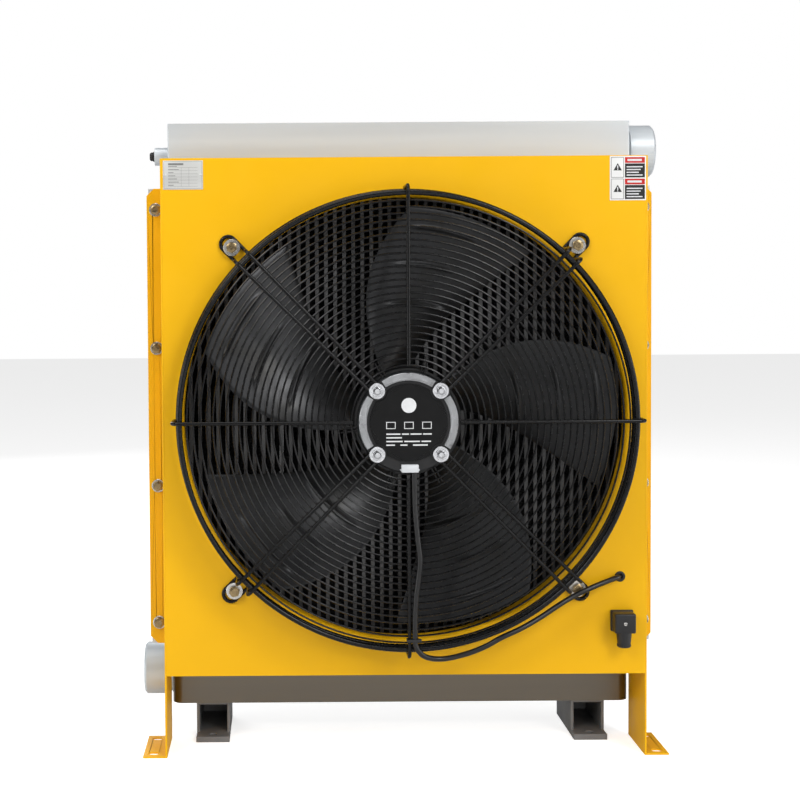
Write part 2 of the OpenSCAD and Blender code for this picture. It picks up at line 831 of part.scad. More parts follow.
module motor_lead() {
    ends = len(lead_points) - 1;
    path = [for (i = [0:ends - 1]) for (k = [0:lead_steps - 1]) lead_at(i, k / lead_steps)];
    wire(concat(path, [pick(ends)]), lead_d);
}

module lead_grommet() {
    color("black") difference() {
        union() {
            y_bar(hole_x, hole_z, face_y - 1.2, face_y + sheet + 1.2, 5.5);
            y_bar(hole_x, hole_z, face_y - 1.2, face_y, 7);
            y_bar(hole_x, hole_z, face_y + sheet, face_y + sheet + 1.2, 7);
        }
        y_bar(hole_x, hole_z, face_y - 3, face_y + sheet + 3, 3.6);
    }
}

// A strap round the lower stay and the lead, between two rings.
module cable_tie() {
    tie_w = 3.5;
    z = fan_z - ring_first_r - (ring_count - 1.5) * ring_pitch;
    color([0.05, 0.05, 0.05]) translate([4, arm_y - 1, z - tie_w / 2]) {
        linear_extrude(height = tie_w) difference() {
            square([15.8, 10.6], center = true);
            square([13.8, 8.6], center = true);
        }
        translate([7.9, -5.3, -0.5]) cube([3, 4.5, tie_w + 1]);
    }
}

module plug_base() {
    color("black") block([plug_x - 15, plug_y1, plug_z - 14], [plug_x + 15, face_y, plug_z + 14]);
}

// Right-angle plug: a square block with a tapered neck and a ribbed gland nut below it.
module plug_body() {
    neck_y = (plug_y0 + plug_y1) / 2;
    bottom = plug_z - 13;
    color([0.1, 0.1, 0.1]) difference() {
        union() {
            block([plug_x - 13.75, plug_y0, bottom], [plug_x + 13.75, plug_y1, plug_z + 13]);
            translate([plug_x, neck_y, bottom - 17]) cylinder(h = 17, r1 = 8.2, r2 = 9.6);
            translate([plug_x, neck_y, plug_end_z]) cylinder(h = bottom - 16 - plug_end_z, r = 8.8);
        }
        y_bar(plug_x, plug_z, plug_y0 - 1, plug_y0 + 5, 3.2);
        translate([plug_x, neck_y, plug_end_z - 1]) cylinder(h = 16, r = 5);
    }
}

module plug_screw() {
    color("silver") y_bar(plug_x, plug_z, plug_y0 + 1.5, plug_y0 + 5, 2.6);
}

module nameplate() {
    mid_z = plate_z0 + plate_h / 2;
    color("silver") {
        block([plate_x0, face_y - 0.6, plate_z0], [plate_x0 + plate_w, face_y, plate_z0 + plate_h]);
        for (x = [plate_x0 + 3, plate_x0 + plate_w - 3])
            y_bar(x, mid_z, face_y - 1.6, face_y - 0.5, 1.7);
    }
}

module safety_label() {
    color("white") block([sticker_x0, face_y - 0.3, sticker_z0],
                         [half_w - sheet, face_y, sticker_z0 + 58]);
}

front_panel();
fan_ring();
panel_top_flange();
panel_bottom_flange();
side_plate_left();
side_plate_right();
flange_bolts();
flange_washers();
flange_nuts();
upper_tank();
lower_tank();
core_side_left();
core_side_right();
upper_header();
lower_header();
core_tubes();
core_fins();
inlet_port();
outlet_port();
sensor_port();
port_plug();
core_foot_left();
core_foot_right();
guard_rings();
guard_back_rings();
guard_arm_1();
guard_arm_2();
guard_arm_3();
guard_arm_4();
guard_stays();
guard_short_stays();
guard_bolts();
guard_washers();
guard_nuts();
motor_flange();
motor_rim();
motor_label();
motor_bolts();
cable_outlet();
stator_core();
stator_winding();
bearing_outer_rings();
bearing_inner_rings();
bearing_balls();
motor_shaft();
rotor_shell();
rotor_cage();
fan_blade_1();
fan_blade_2();
fan_blade_3();
fan_blade_4();
fan_blade_5();
motor_lead();
lead_grommet();
cable_tie();
plug_base();
plug_body();
plug_screw();
nameplate();
safety_label();
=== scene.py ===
"""Looks for the hydraulic oil cooler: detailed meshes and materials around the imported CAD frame.

X runs to the right, Y from the fan side to the core side and Z up, in metres.
"""

import json
import math

import bmesh
import bpy
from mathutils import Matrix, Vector


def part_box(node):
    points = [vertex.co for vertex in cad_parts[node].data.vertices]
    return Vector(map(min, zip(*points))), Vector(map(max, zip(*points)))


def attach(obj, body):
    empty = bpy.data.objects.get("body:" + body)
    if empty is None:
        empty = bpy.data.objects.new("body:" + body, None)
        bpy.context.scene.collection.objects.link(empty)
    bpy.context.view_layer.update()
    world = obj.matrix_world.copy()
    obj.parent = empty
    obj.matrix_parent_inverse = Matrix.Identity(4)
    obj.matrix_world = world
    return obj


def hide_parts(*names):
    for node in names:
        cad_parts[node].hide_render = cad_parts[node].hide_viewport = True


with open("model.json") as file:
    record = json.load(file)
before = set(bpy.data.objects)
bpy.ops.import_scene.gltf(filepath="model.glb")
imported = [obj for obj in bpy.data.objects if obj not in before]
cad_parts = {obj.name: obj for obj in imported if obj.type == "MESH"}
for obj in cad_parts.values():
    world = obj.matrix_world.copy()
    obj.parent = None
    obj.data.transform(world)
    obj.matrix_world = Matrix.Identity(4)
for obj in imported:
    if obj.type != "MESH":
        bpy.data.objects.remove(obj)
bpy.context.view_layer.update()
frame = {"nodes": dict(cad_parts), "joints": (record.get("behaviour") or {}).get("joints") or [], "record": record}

# ---- places, from the frame

MM = 0.001
NODES = frame["nodes"]
RECORD = frame["record"]
SLOT_OF = {s["node"]: s["material_slot"] for s in RECORD["subparts"]}
AXIS = Vector(frame["joints"][0]["pos_m"])

FACE_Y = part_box("front_panel")[0].y
CORE_LO, CORE_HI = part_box("core_tubes")

# Wire sizes and places of the guard, as radii from the fan axis and depths along Y
RING_D = 2.6 * MM
STAY_D = 5 * MM
RIM_D = 7 * MM
RING_COUNT = 26
RING_FIRST = 73.5 * MM
RING_PITCH = 8.42 * MM
ARM_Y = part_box("guard_arm_1")[0].y + STAY_D / 2
RING_Y = ARM_Y + (STAY_D + RING_D) / 2
RIM_Y = ARM_Y + (STAY_D + RIM_D) / 2
RIM_R = 293.6 * MM
BACK_RIM_R = 297 * MM
BACK_RIM_Y = FACE_Y - 25 * MM
THIN_RIM_Y = FACE_Y - 12 * MM
LEG_R = BACK_RIM_R + (RIM_D + STAY_D) / 2
THIN_RIM_R = LEG_R - (STAY_D + RING_D) / 2
BEND_R = 8 * MM
MOTOR_BOLT_R = 57.5 * MM
TAB_R = 320 * MM
FOOT_LOOP_R = TAB_R + 6.5 * MM
ARM_INNER = 6.25 * MM
ARM_OUTER = 10 * MM
FOOT_WIRE_Y = FACE_Y - STAY_D / 2
ARM_ANGLES = {"guard_arm_1": 135, "guard_arm_2": 45, "guard_arm_3": -45, "guard_arm_4": -135}
STAY_ANGLES = (90, 0, -90, 180)
SHORT_STAY_ANGLES = (0, 74, 118, 187, 252, 298)
SHORT_STAY_START = 66.5 * MM
SHORT_STAY_LENGTH = 21 * MM
SHORT_STAY_OFFSET = 2.2 * MM
# Half sizes of the small welds where two wires cross
NUGGET = (2.3 * MM, 1.1 * MM, 2.3 * MM)

# Route of the motor lead, the same points as in the CAD part
LEAD_D = 7 * MM
LEAD_POINTS = [
    (6.5, -108.4, 392), (6.6, -108.4, 372), (7, -108.4, 350), (8.2, -108.4, 327),
    (10.8, -108.4, 299), (13.5, -108.4, 273), (11.4, -108.4, 250), (8.6, -108.4, 228),
    (7, -108.4, 202), (6.8, -108.4, 180), (7.2, -108.6, 165), (12, -107.8, 156),
    (20, -104.5, 149), (34, -99, 144.5), (52, -97, 145), (78, -96.5, 151.5),
    (100, -97, 160.5), (119, -97, 171), (145, -92, 181.5), (170, -84, 193),
    (199, -75, 209), (216, -70, 217.5), (234, -67, 225.5), (252, -62.5, 232),
    (269, -56.5, 237), (280, -50.5, 239.3), (284, -42, 239.5), (284, -34, 239.5),
]


def polar(r, degrees, y):
    """The point at radius r and angle from +X, seen from the front, at depth y."""
    a = math.radians(degrees)
    return Vector((AXIS.x + r * math.cos(a), y, AXIS.z + r * math.sin(a)))


def full_turn(count):
    """Angles spaced evenly round a circle, in radians."""
    return [2 * math.pi * k / count for k in range(count)]


def axes_of(direction):
    """A unit vector along a direction, and two more square to it."""
    axis = Vector(direction).normalized()
    u = axis.orthogonal().normalized()
    return axis, u, axis.cross(u)


def circle(centre, direction, r, height, count):
    """Points of a circle about a direction, at a height along it from centre."""
    axis, u, v = axes_of(direction)
    return [Vector(centre) + axis * height + r * (math.cos(t) * u + math.sin(t) * v)
            for t in full_turn(count)]


# ---- materials


def noise(tree, coords, scale, detail=4.0, roughness=0.55):
    """A noise pattern's value, from 0 to 1."""
    node = tree.nodes.new("ShaderNodeTexNoise")
    node.inputs["Scale"].default_value = scale
    node.inputs["Detail"].default_value = detail
    node.inputs["Roughness"].default_value = roughness
    tree.links.new(coords, node.inputs["Vector"])
    return node.outputs["Fac"]


def ramp(tree, value, stops):
    """A colour ramp; stops are (place, colour)."""
    node = tree.nodes.new("ShaderNodeValToRGB")
    elements = node.color_ramp.elements
    while len(elements) < len(stops):
        elements.new(0.5)
    for element, (place, colour) in zip(elements, stops):
        element.position = place
        element.color = (*colour, 1.0)
    tree.links.new(value, node.inputs["Fac"])
    return node.outputs["Color"]


def spread(tree, value, low, high):
    """Spreads the middle of a noise pattern's range over low to high."""
    node = tree.nodes.new("ShaderNodeMapRange")
    node.inputs["From Min"].default_value = 0.3
    node.inputs["From Max"].default_value = 0.7
    node.inputs["To Min"].default_value = low
    node.inputs["To Max"].default_value = high
    tree.links.new(value, node.inputs["Value"])
    return node.outputs["Result"]


def material(name, colour, rough, metallic=0.0, coat=0.0, vary=0.08, vary_scale=12, grain=600,
             bump=0.08, depth=0.0002, stretch=(1, 1, 1), specular=0.5, dirt=None, rough_vary=0.06):
    """A finish whose colour, roughness and fine relief all vary over the surface."""
    mat = bpy.data.materials.new(name)
    mat.use_nodes = True
    tree = mat.node_tree
    shader = tree.nodes["Principled BSDF"]
    coords = tree.nodes.new("ShaderNodeTexCoord").outputs["Object"]
    mapping = tree.nodes.new("ShaderNodeMapping")
    mapping.inputs["Scale"].default_value = stretch
    tree.links.new(coords, mapping.inputs["Vector"])
    stretched = mapping.outputs["Vector"]
    dark = tuple(c * (1 - vary) for c in colour)
    light = tuple(min(1.0, c * (1 + vary)) for c in colour)
    stops = [(0.3, dirt or dark), (0.46 if dirt else 0.5, colour), (0.72, light)]
    tree.links.new(ramp(tree, noise(tree, stretched, vary_scale), stops), shader.inputs["Base Color"])
    patches = noise(tree, stretched, vary_scale * 4)
    roughness = spread(tree, patches, max(0.02, rough - rough_vary), min(1.0, rough + rough_vary))
    tree.links.new(roughness, shader.inputs["Roughness"])
    shader.inputs["Metallic"].default_value = metallic
    shader.inputs["Coat Weight"].default_value = coat
    shader.inputs["Coat Roughness"].default_value = 0.12
    shader.inputs["Specular IOR Level"].default_value = specular
    relief = tree.nodes.new("ShaderNodeBump")
    relief.inputs["Strength"].default_value = bump
    relief.inputs["Distance"].default_value = depth
    tree.links.new(noise(tree, stretched, grain, 3.0), relief.inputs["Height"])
    tree.links.new(relief.outputs["Normal"], shader.inputs["Normal"])
    return mat


BRUSHED_X = (0.04, 1, 1)
BRUSHED_Z = (1, 1, 0.05)
TURNED_Y = (1, 30, 1)
FINISHES = {
    "yellow_paint": dict(colour=(0.89, 0.475, 0.003), rough=0.4, coat=0.03, specular=0.22,
                         vary=0.035, vary_scale=5, grain=900, bump=0.10, depth=0.0001),
    "bare_aluminium": dict(colour=(0.61, 0.65, 0.68), rough=0.42, metallic=0.3, grain=420,
                           bump=0.16, stretch=BRUSHED_X),
    "core_aluminium": dict(colour=(0.13, 0.13, 0.132), rough=0.5, metallic=0.6, vary=0.25,
                           vary_scale=30, stretch=BRUSHED_Z, bump=0.2),
    # The fins: the core's aluminium painted much darker than the tubes, as shade deep between them
    "fin_aluminium": dict(colour=(0.045, 0.045, 0.047), rough=0.6, metallic=0.4, vary=0.3,
                          vary_scale=40),
    "foot_steel": dict(colour=(0.21, 0.21, 0.212), rough=0.42, metallic=0.3, vary=0.18,
                       vary_scale=30, grain=500, bump=0.25),
    "black_wire": dict(colour=(0.003, 0.003, 0.0033), rough=0.26, vary=0.3, vary_scale=40,
                       grain=700, bump=0.08, specular=0.28),
    "zinc_steel": dict(colour=(0.66, 0.65, 0.62), rough=0.27, metallic=0.9, vary=0.06,
                       vary_scale=40, grain=900, bump=0.05, dirt=(0.54, 0.52, 0.48)),
    "zinc_bright": dict(colour=(0.40, 0.405, 0.42), rough=0.24, metallic=1.0, vary=0.12,
                        vary_scale=70, grain=900, bump=0.06),
    "zinc_yellow": dict(colour=(0.34, 0.25, 0.13), rough=0.3, metallic=0.9, vary=0.25,
                        vary_scale=90, grain=900, bump=0.15, dirt=(0.13, 0.09, 0.045)),
    "motor_black": dict(colour=(0.011, 0.011, 0.012), rough=0.42, metallic=0.2, vary=0.25,
                        vary_scale=50, grain=900, bump=0.3),
    "motor_silver": dict(colour=(0.30, 0.305, 0.315), rough=0.32, metallic=1.0, vary=0.12,
                         vary_scale=60, grain=1200, bump=0.12, dirt=(0.14, 0.14, 0.145)),
    "label_black": dict(colour=(0.003, 0.003, 0.0033), rough=0.38, specular=0.2, vary=0.2, vary_scale=30,
                        grain=1500, bump=0.06),
    "outlet_plastic": dict(colour=(0.62, 0.64, 0.66), rough=0.5, vary=0.06, vary_scale=60, bump=0.15),
    "lamination": dict(colour=(0.16, 0.17, 0.18), rough=0.5, metallic=0.8, stretch=TURNED_Y),
    "copper": dict(colour=(0.50, 0.20, 0.07), rough=0.35, metallic=0.8, coat=0.5, vary=0.2,
                   vary_scale=80, grain=400, bump=0.5),
    "bearing_steel": dict(colour=(0.62, 0.62, 0.63), rough=0.18, metallic=1.0, stretch=TURNED_Y),
    "blade_steel": dict(colour=(0.030, 0.0305, 0.032), rough=0.34, metallic=0.7, coat=0.1,
                        vary=0.2, vary_scale=14, grain=700, bump=0.12, dirt=(0.023, 0.0225, 0.021)),
    "cable_black": dict(colour=(0.006, 0.006, 0.0065), rough=0.34, vary=0.2, vary_scale=50,
                        grain=500, bump=0.1),
    "rubber_black": dict(colour=(0.012, 0.012, 0.012), rough=0.6, vary=0.2, vary_scale=80, bump=0.2),
    "plug_black": dict(colour=(0.011, 0.011, 0.012), rough=0.42, vary=0.2, vary_scale=60,
                       grain=1500, bump=0.35, depth=0.0001),
    "plate_silver": dict(colour=(0.62, 0.62, 0.60), rough=0.4, metallic=0.25, vary_scale=60,
                         stretch=(0.05, 1, 1), grain=900, bump=0.1),
    "sticker_white": dict(colour=(0.80, 0.80, 0.79), rough=0.35, coat=0.2, vary=0.03, vary_scale=40,
                          bump=0.04),
    "print_white": dict(colour=(0.72, 0.73, 0.74), rough=0.4, vary=0.05, vary_scale=200, bump=0.03),
    "print_grey": dict(colour=(0.20, 0.20, 0.19), rough=0.45, vary=0.1, vary_scale=200, bump=0.03),
    "print_red": dict(colour=(0.55, 0.012, 0.010), rough=0.35, vary=0.06, vary_scale=60, bump=0.03),
    # Black print on the safety label, and also the painted shade of the plug screw's slot
    "print_black_and_painted_shade": dict(colour=(0.008, 0.008, 0.008), rough=0.4, vary=0.1, vary_scale=60, bump=0.03),
    # The lower tank's aluminium, painted darker and browner as shade under the panel
    "lower_tank_painted_shade": dict(colour=(0.19, 0.17, 0.14), rough=0.34, metallic=0.9, vary=0.16,
                       vary_scale=9, grain=420, bump=0.18, stretch=BRUSHED_X),
}
MATERIALS = {name: material(name, **finish) for name, finish in FINISHES.items()}

# ---- mesh building


class Shape:
    """Points and faces that grow piece by piece and become one mesh object."""

    def __init__(self):
        self.points = []
        self.faces = []

    def add(self, points, faces):
        base = len(self.points)
        self.points.extend(points)
        self.faces.extend([tuple(base + i for i in face) for face in faces])

    def grid(self, rows, wrap_rows=False, wrap_cols=False, caps=False):
        """Skins a list of rows of points."""
        n, m = len(rows), len(rows[0])
        faces = []
        for i in range(n if wrap_rows else n - 1):
            for j in range(m if wrap_cols else m - 1):
                i2, j2 = (i + 1) % n, (j + 1) % m
                faces.append((i * m + j, i * m + j2, i2 * m + j2, i2 * m + j))
        if caps:
            faces.append(tuple(range(m))[::-1])
            faces.append(tuple((n - 1) * m + j for j in range(m)))
        self.add([p for row in rows for p in row], faces)

    def tube(self, path, radius, sides=12, closed=False):
        """A round wire along a path; its frames are carried so that it doesn't twist."""
        count = len(path)
        dirs = []
        for i in range(count):
            a = path[i - 1] if closed or i else path[0]
            b = path[(i + 1) % count] if closed or i < count - 1 else path[-1]
            dirs.append((b - a).normalized())
        side = dirs[0].orthogonal().normalized()
        rows = []
        for p, d in zip(path, dirs):
            side = (side - side.dot(d) * d).normalized()
            up = d.cross(side)
            rows.append([p + radius * (math.cos(t) * side + math.sin(t) * up)
                         for t in full_turn(sides)])
        self.grid(rows, wrap_rows=closed, wrap_cols=True, caps=not closed)

    def ring(self, r, y, diameter, segments=180, sides=10):
        """A wire ring about the fan axis."""
        rows = []
        for i in range(segments):
            a = 360 * i / segments
            rows.append([polar(r + diameter / 2 * math.cos(t), a, y + diameter / 2 * math.sin(t))
                         for t in full_turn(sides)])
        self.grid(rows, wrap_rows=True, wrap_cols=True)

    def lathe(self, centre, axis, profile, segments=48):
        """Turns a profile of (radius, height) about an axis; its ends may lie on the axis."""
        self.grid([circle(centre, axis, r, h, segments) for r, h in profile], wrap_cols=True)

    def disc_cap(self, centre, axis, r, h, segments=48, flip=False):
        """A flat round face across an axis."""
        order = tuple(range(segments))
        self.add(circle(centre, axis, r, h, segments), [order[::-1] if flip else order])

    def turned(self, centre, axis, profile, segments=48):
        """A solid of revolution whose profile starts and ends at a radius above 0, with caps."""
        self.lathe(centre, axis, profile, segments)
        self.disc_cap(centre, axis, profile[0][0], profile[0][1], segments, flip=True)
        self.disc_cap(centre, axis, profile[-1][0], profile[-1][1], segments)

    def loop(self, centre, axis, profile, segments=48):
        """A solid ring: a closed profile of (radius, height) turned about an axis."""
        self.lathe(centre, axis, list(profile) + [profile[0]], segments)

    def hexagon(self, centre, axis, flats, height, bore=0.0, both=False, turn=0.0):
        """A bolt head or nut, with its corners chamfered at 30 degrees on one or both faces."""
        axis, u, v = axes_of(axis)
        segments = 60
        flat = flats / 2
        rim = flat * 0.96
        rows = [[], [], [], []]
        for t in full_turn(segments):
            from_flat = (t + math.pi / 6) % (math.pi / 3) - math.pi / 6
            r = flat / math.cos(from_flat)
            drop = (r - rim) * math.tan(math.radians(30))
            d = math.cos(t + turn) * u + math.sin(t + turn) * v
            rows[0].append(Vector(centre) + rim * d)
            rows[1].append(Vector(centre) + r * d + axis * (drop if both else 0))
            rows[2].append(Vector(centre) + r * d + axis * (height - drop))
            rows[3].append(Vector(centre) + rim * d + axis * height)
        if bore:
            for h in (height, 0):
                rows.append([Vector(centre) + axis * h + bore *
                             (math.cos(t + turn) * u + math.sin(t + turn) * v)
                             for t in full_turn(segments)])
            self.grid(rows, wrap_rows=True, wrap_cols=True)
        else:
            self.grid(rows, wrap_cols=True, caps=True)

    def thread(self, centre, axis, r, start, end, pitch, bore=False):
        """A row of thread crests on a rod, or in a bore where they point inwards."""
        count = max(1, round((end - start) / pitch))
        step = (end - start) / count
        tip = -0.55 * pitch if bore else 0.0
        root = 0.0 if bore else -0.55 * pitch
        profile = []
        for i in range(count):
            profile += [(r + root, start + i * step), (r + tip, start + (i + 0.5) * step)]
        profile.append((r + root, end))
        if bore:
            back = r + 0.3 * MM
            self.loop(centre, axis, [(back, start), *profile, (back, end)], 64)
        else:
            self.turned(centre, axis, profile, 32)

    def box(self, lo, hi, bevel=0.0, segments=3):
        """A box with rounded edges."""
        bm = bmesh.new()
        bmesh.ops.create_cube(bm, size=1.0)
        lo, hi = Vector(lo), Vector(hi)
        for vert in bm.verts:
            vert.co = Vector([lo[i] + (vert.co[i] + 0.5) * (hi[i] - lo[i]) for i in range(3)])
        if bevel:
            bmesh.ops.bevel(bm, geom=bm.edges[:], offset=bevel, segments=segments, profile=0.5,
                            affect="EDGES")
        bm.verts.ensure_lookup_table()
        self.add([v.co.copy() for v in bm.verts], [tuple(v.index for v in f.verts) for f in bm.faces])
        bm.free()

    def blob(self, centre, size):
        """A small rounded weld nugget."""
        rows = []
        for i in range(1, 5):
            a = math.pi * i / 5
            rows.append([Vector(centre) + Vector((size[0] * math.sin(a) * math.cos(t),
                                                  size[1] * math.cos(a),
                                                  size[2] * math.sin(a) * math.sin(t)))
                         for t in full_turn(8)])
        self.grid(rows, wrap_cols=True, caps=True)

    def bead(self, a, b, width):
        """A rippled weld bead from a to b."""
        a, b = Vector(a), Vector(b)
        count = max(4, int((b - a).length / (1.6 * MM)))
        d = (b - a).normalized()
        side = d.orthogonal().normalized()
        up = d.cross(side)
        rows = []
        for i in range(count + 1):
            r = width / 2 * (0.86 + 0.14 * (i % 3 != 0))
            rows.append([a + (b - a) * i / count + r * (math.cos(t) * side + math.sin(t) * up)
                         for t in full_turn(8)])
        self.grid(rows, wrap_cols=True, caps=True)

    def make(self, name, finish, body="root", replaces=(), slot=None, smooth=40, bevel=0.0):
        """Turns the shape into an object that rides on a body."""
        mesh = bpy.data.meshes.new(name)
        mesh.from_pydata([tuple(p) for p in self.points], [], self.faces)
        bm = bmesh.new()
        bm.from_mesh(mesh)
        bmesh.ops.recalc_face_normals(bm, faces=bm.faces[:])
        bm.to_mesh(mesh)
        bm.free()
        mesh.shade_smooth()
        mesh.set_sharp_from_angle(angle=math.radians(smooth))
        obj = bpy.data.objects.new(name, mesh)
        bpy.context.scene.collection.objects.link(obj)
        mesh.materials.append(MATERIALS[finish])
        if bevel:
            round_edges(obj, bevel)
        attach(obj, body)
        if replaces:
            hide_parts(*replaces)
        return obj


def round_edges(obj, width, segments=2, angle=35):
    """Rounds sharp edges with modifiers, which leave the mesh itself as it is."""
    weld = obj.modifiers.new("weld", "WELD")
    weld.merge_threshold = 0.00002
    bevel = obj.modifiers.new("bevel", "BEVEL")
    bevel.width = width
    bevel.segments = segments
    bevel.limit_method = "ANGLE"
    bevel.angle_limit = math.radians(angle)
    bevel.use_clamp_overlap = True
    level = obj.modifiers.new("level", "WEIGHTED_NORMAL")
    level.weight = 100
    level.keep_sharp = False


def arc(centre, r, u, v, start, end, count):
    """Points of an arc in the plane of u and v; the angles are in degrees."""
    angles = [math.radians(start + (end - start) * k / count) for k in range(count + 1)]
    return [centre + r * (math.cos(a) * u + math.sin(a) * v) for a in angles]


# ---- camera, light and floor

# The camera's height, offset and distance from the panel are in metres, its angles in degrees
SENSOR_MM = 36
LENS_MM = 64.98
CAMERA_X = -0.164
CAMERA_Z = 0.617
CAMERA_DISTANCE = 1.90
CAMERA_PITCH = 2.0
CAMERA_ROLL = 0.39
SHIFT_X = 0.1505
SHIFT_Y = -0.0702
FILL_STRENGTH = 0.13
FLOOR_GLOW = 0.72
FLOOR_HALF = 12
MIDDLE = (0, 0, 0.45)
FEET = (0, 0, 0.1)
# Each light's place, the point that it faces, its size in metres and its power in watts
LIGHTS = {
    "key": ((2.1, -3.5, 3.2), MIDDLE, 1.6, 94),
    "right": ((2.5, -3.0, 1.1), MIDDLE, 1.2, 16),
    "front_fill": ((-2.3, -2.9, 2.7), MIDDLE, 1.5, 58),
    "top": ((-0.3, -0.5, 2.9), MIDDLE, 1.4, 20),
    "side_left": ((-2.4, -0.5, 0.5), MIDDLE, 1.1, 14),
    "side_right": ((2.4, -0.5, 0.5), MIDDLE, 1.1, 14),
    "low": ((0.2, -2.6, 0.25), FEET, 0.7, 3),
    "back_fill": ((-1.4, 2.6, 1.8), MIDDLE, 1.8, 34),
}


def make_camera():
    data = bpy.data.cameras.new("camera")
    data.sensor_width = SENSOR_MM
    data.lens = LENS_MM
    data.shift_x = SHIFT_X
    data.shift_y = SHIFT_Y
    camera = bpy.data.objects.new("camera", data)
    camera.location = (CAMERA_X, FACE_Y - CAMERA_DISTANCE, CAMERA_Z)
    tilt = math.radians(90 - CAMERA_PITCH)
    camera.rotation_euler = (tilt, math.radians(CAMERA_ROLL), 0)
    bpy.context.scene.collection.objects.link(camera)
    bpy.context.scene.camera = camera


def area_light(name, place, target, size, power):
    data = bpy.data.lights.new(name, "AREA")
    data.energy = power
    data.size = size
    light = bpy.data.objects.new(name, data)
    light.location = place
    light.rotation_euler = (Vector(target) - Vector(place)).to_track_quat("-Z", "Y").to_euler()
    bpy.context.scene.collection.objects.link(light)


def make_world():
    """White all round to the eye, and a softer fill for the object."""
    world = bpy.data.worlds.new("studio")
    bpy.context.scene.world = world
    world.use_nodes = True
    tree = world.node_tree
    fill = tree.nodes["Background"]
    fill.inputs["Color"].default_value = (1, 1, 1, 1)
    fill.inputs["Strength"].default_value = FILL_STRENGTH
    seen = tree.nodes.new("ShaderNodeBackground")
    seen.inputs["Color"].default_value = (1, 1, 1, 1)
    seen.inputs["Strength"].default_value = 1.0
    mix = tree.nodes.new("ShaderNodeMixShader")
    rays = tree.nodes.new("ShaderNodeLightPath")
    tree.links.new(rays.outputs["Is Camera Ray"], mix.inputs["Fac"])
    tree.links.new(fill.outputs["Background"], mix.inputs[1])
    tree.links.new(seen.outputs["Background"], mix.inputs[2])
    tree.links.new(mix.outputs["Shader"], tree.nodes["World Output"].inputs["Surface"])


def make_floor():
    """A pale floor that the camera sees near white, with only the object's own shade on it."""
    mesh = bpy.data.meshes.new("floor")
    half = FLOOR_HALF
    mesh.from_pydata([(-half, -half, 0), (half, -half, 0), (half, half, 0), (-half, half, 0)], [],
                     [(0, 1, 2, 3)])
    floor = bpy.data.objects.new("floor", mesh)
    bpy.context.scene.collection.objects.link(floor)
    pale = material("floor", (0.8, 0.8, 0.8), 0.9, vary=0.01, vary_scale=1, bump=0.02, specular=0.1)
    shader = pale.node_tree.nodes["Principled BSDF"]
    shader.inputs["Emission Color"].default_value = (1, 1, 1, 1)
    rays = pale.node_tree.nodes.new("ShaderNodeLightPath")
    glow = pale.node_tree.nodes.new("ShaderNodeMath")
    glow.operation = "MULTIPLY"
    glow.inputs[1].default_value = FLOOR_GLOW
    pale.node_tree.links.new(rays.outputs["Is Camera Ray"], glow.inputs[0])
    pale.node_tree.links.new(glow.outputs["Value"], shader.inputs["Emission Strength"])
    mesh.materials.append(pale)


make_camera()
make_world()
make_floor()
for light_name, settings in LIGHTS.items():
    area_light(light_name, *settings)
bpy.context.scene.view_settings.view_transform = "Standard"

# ---- fan blades

BLADE_COUNT = 5
TIP_R = 276 * MM
ROOT_R = 68 * MM
BLADE_Y = FACE_Y - 1 * MM
BLADE_RISE = 60 * MM
BLADE_T = 2 * MM
CAMBER = 5 * MM
# In degrees: where the first blade's tip lies, how far the root turns from it, and the blade's width
TIP_ANGLE = 142.5
SWEEP = 28
END_WIDTH = 37
BELLY_WIDTH = 9
# A blade thins to a share of its thickness along its edges, over a share of its width or length
EDGE_T = 0.35
EDGE_RUN = 0.012
STEPS_ACROSS = 24
STEPS_ALONG = 56
# Pressed ribs: radius as a share of the tip's, then start and end across the blade, from 0 to 1
RIBS = ((0.91, 0.33, 0.88), (0.735, 0.29, 0.815), (0.55, 0.10, 0.78))
RIB_HEIGHT = 2.6 * MM
RIB_HALF = 2.5 * MM
RIB_RUN = 0.07


def smooth_step(x):
    x = min(1.0, max(0.0, x))
    return x * x * (3 - 2 * x)


def rib_lift(r, v):
    """How far the three pressed ribs stand out of a blade at radius r and place v across it."""
    lift = 0.0
    for share, start, end in RIBS:
        across = math.exp(-((r - share * TIP_R) / RIB_HALF) ** 2)
        along = smooth_step((v - start) / RIB_RUN) * smooth_step((end - v) / RIB_RUN)
        lift += RIB_HEIGHT * across * along
    return lift


def blade_point(u, v, side):
    """Radius, angle and depth of a point on a blade's front (side -1) or back (side 1)."""
    r = ROOT_R + (TIP_R - ROOT_R) * u
    s = 1 - u
    width = END_WIDTH + BELLY_WIDTH * math.sin(math.pi * s)
    angle = TIP_ANGLE + SWEEP * s + width * (v - 0.5)
    pitch = math.atan(BLADE_RISE / (r * math.radians(width)))
    edge = min(u, 1 - u, v, 1 - v)
    thin = BLADE_T / 2 * (EDGE_T + (1 - EDGE_T) * smooth_step(edge / EDGE_RUN))
    y = BLADE_Y + BLADE_RISE * (0.5 - v) - CAMBER * math.sin(math.pi * v)
    return r, angle, y - rib_lift(r, v) + side * thin / math.cos(pitch)


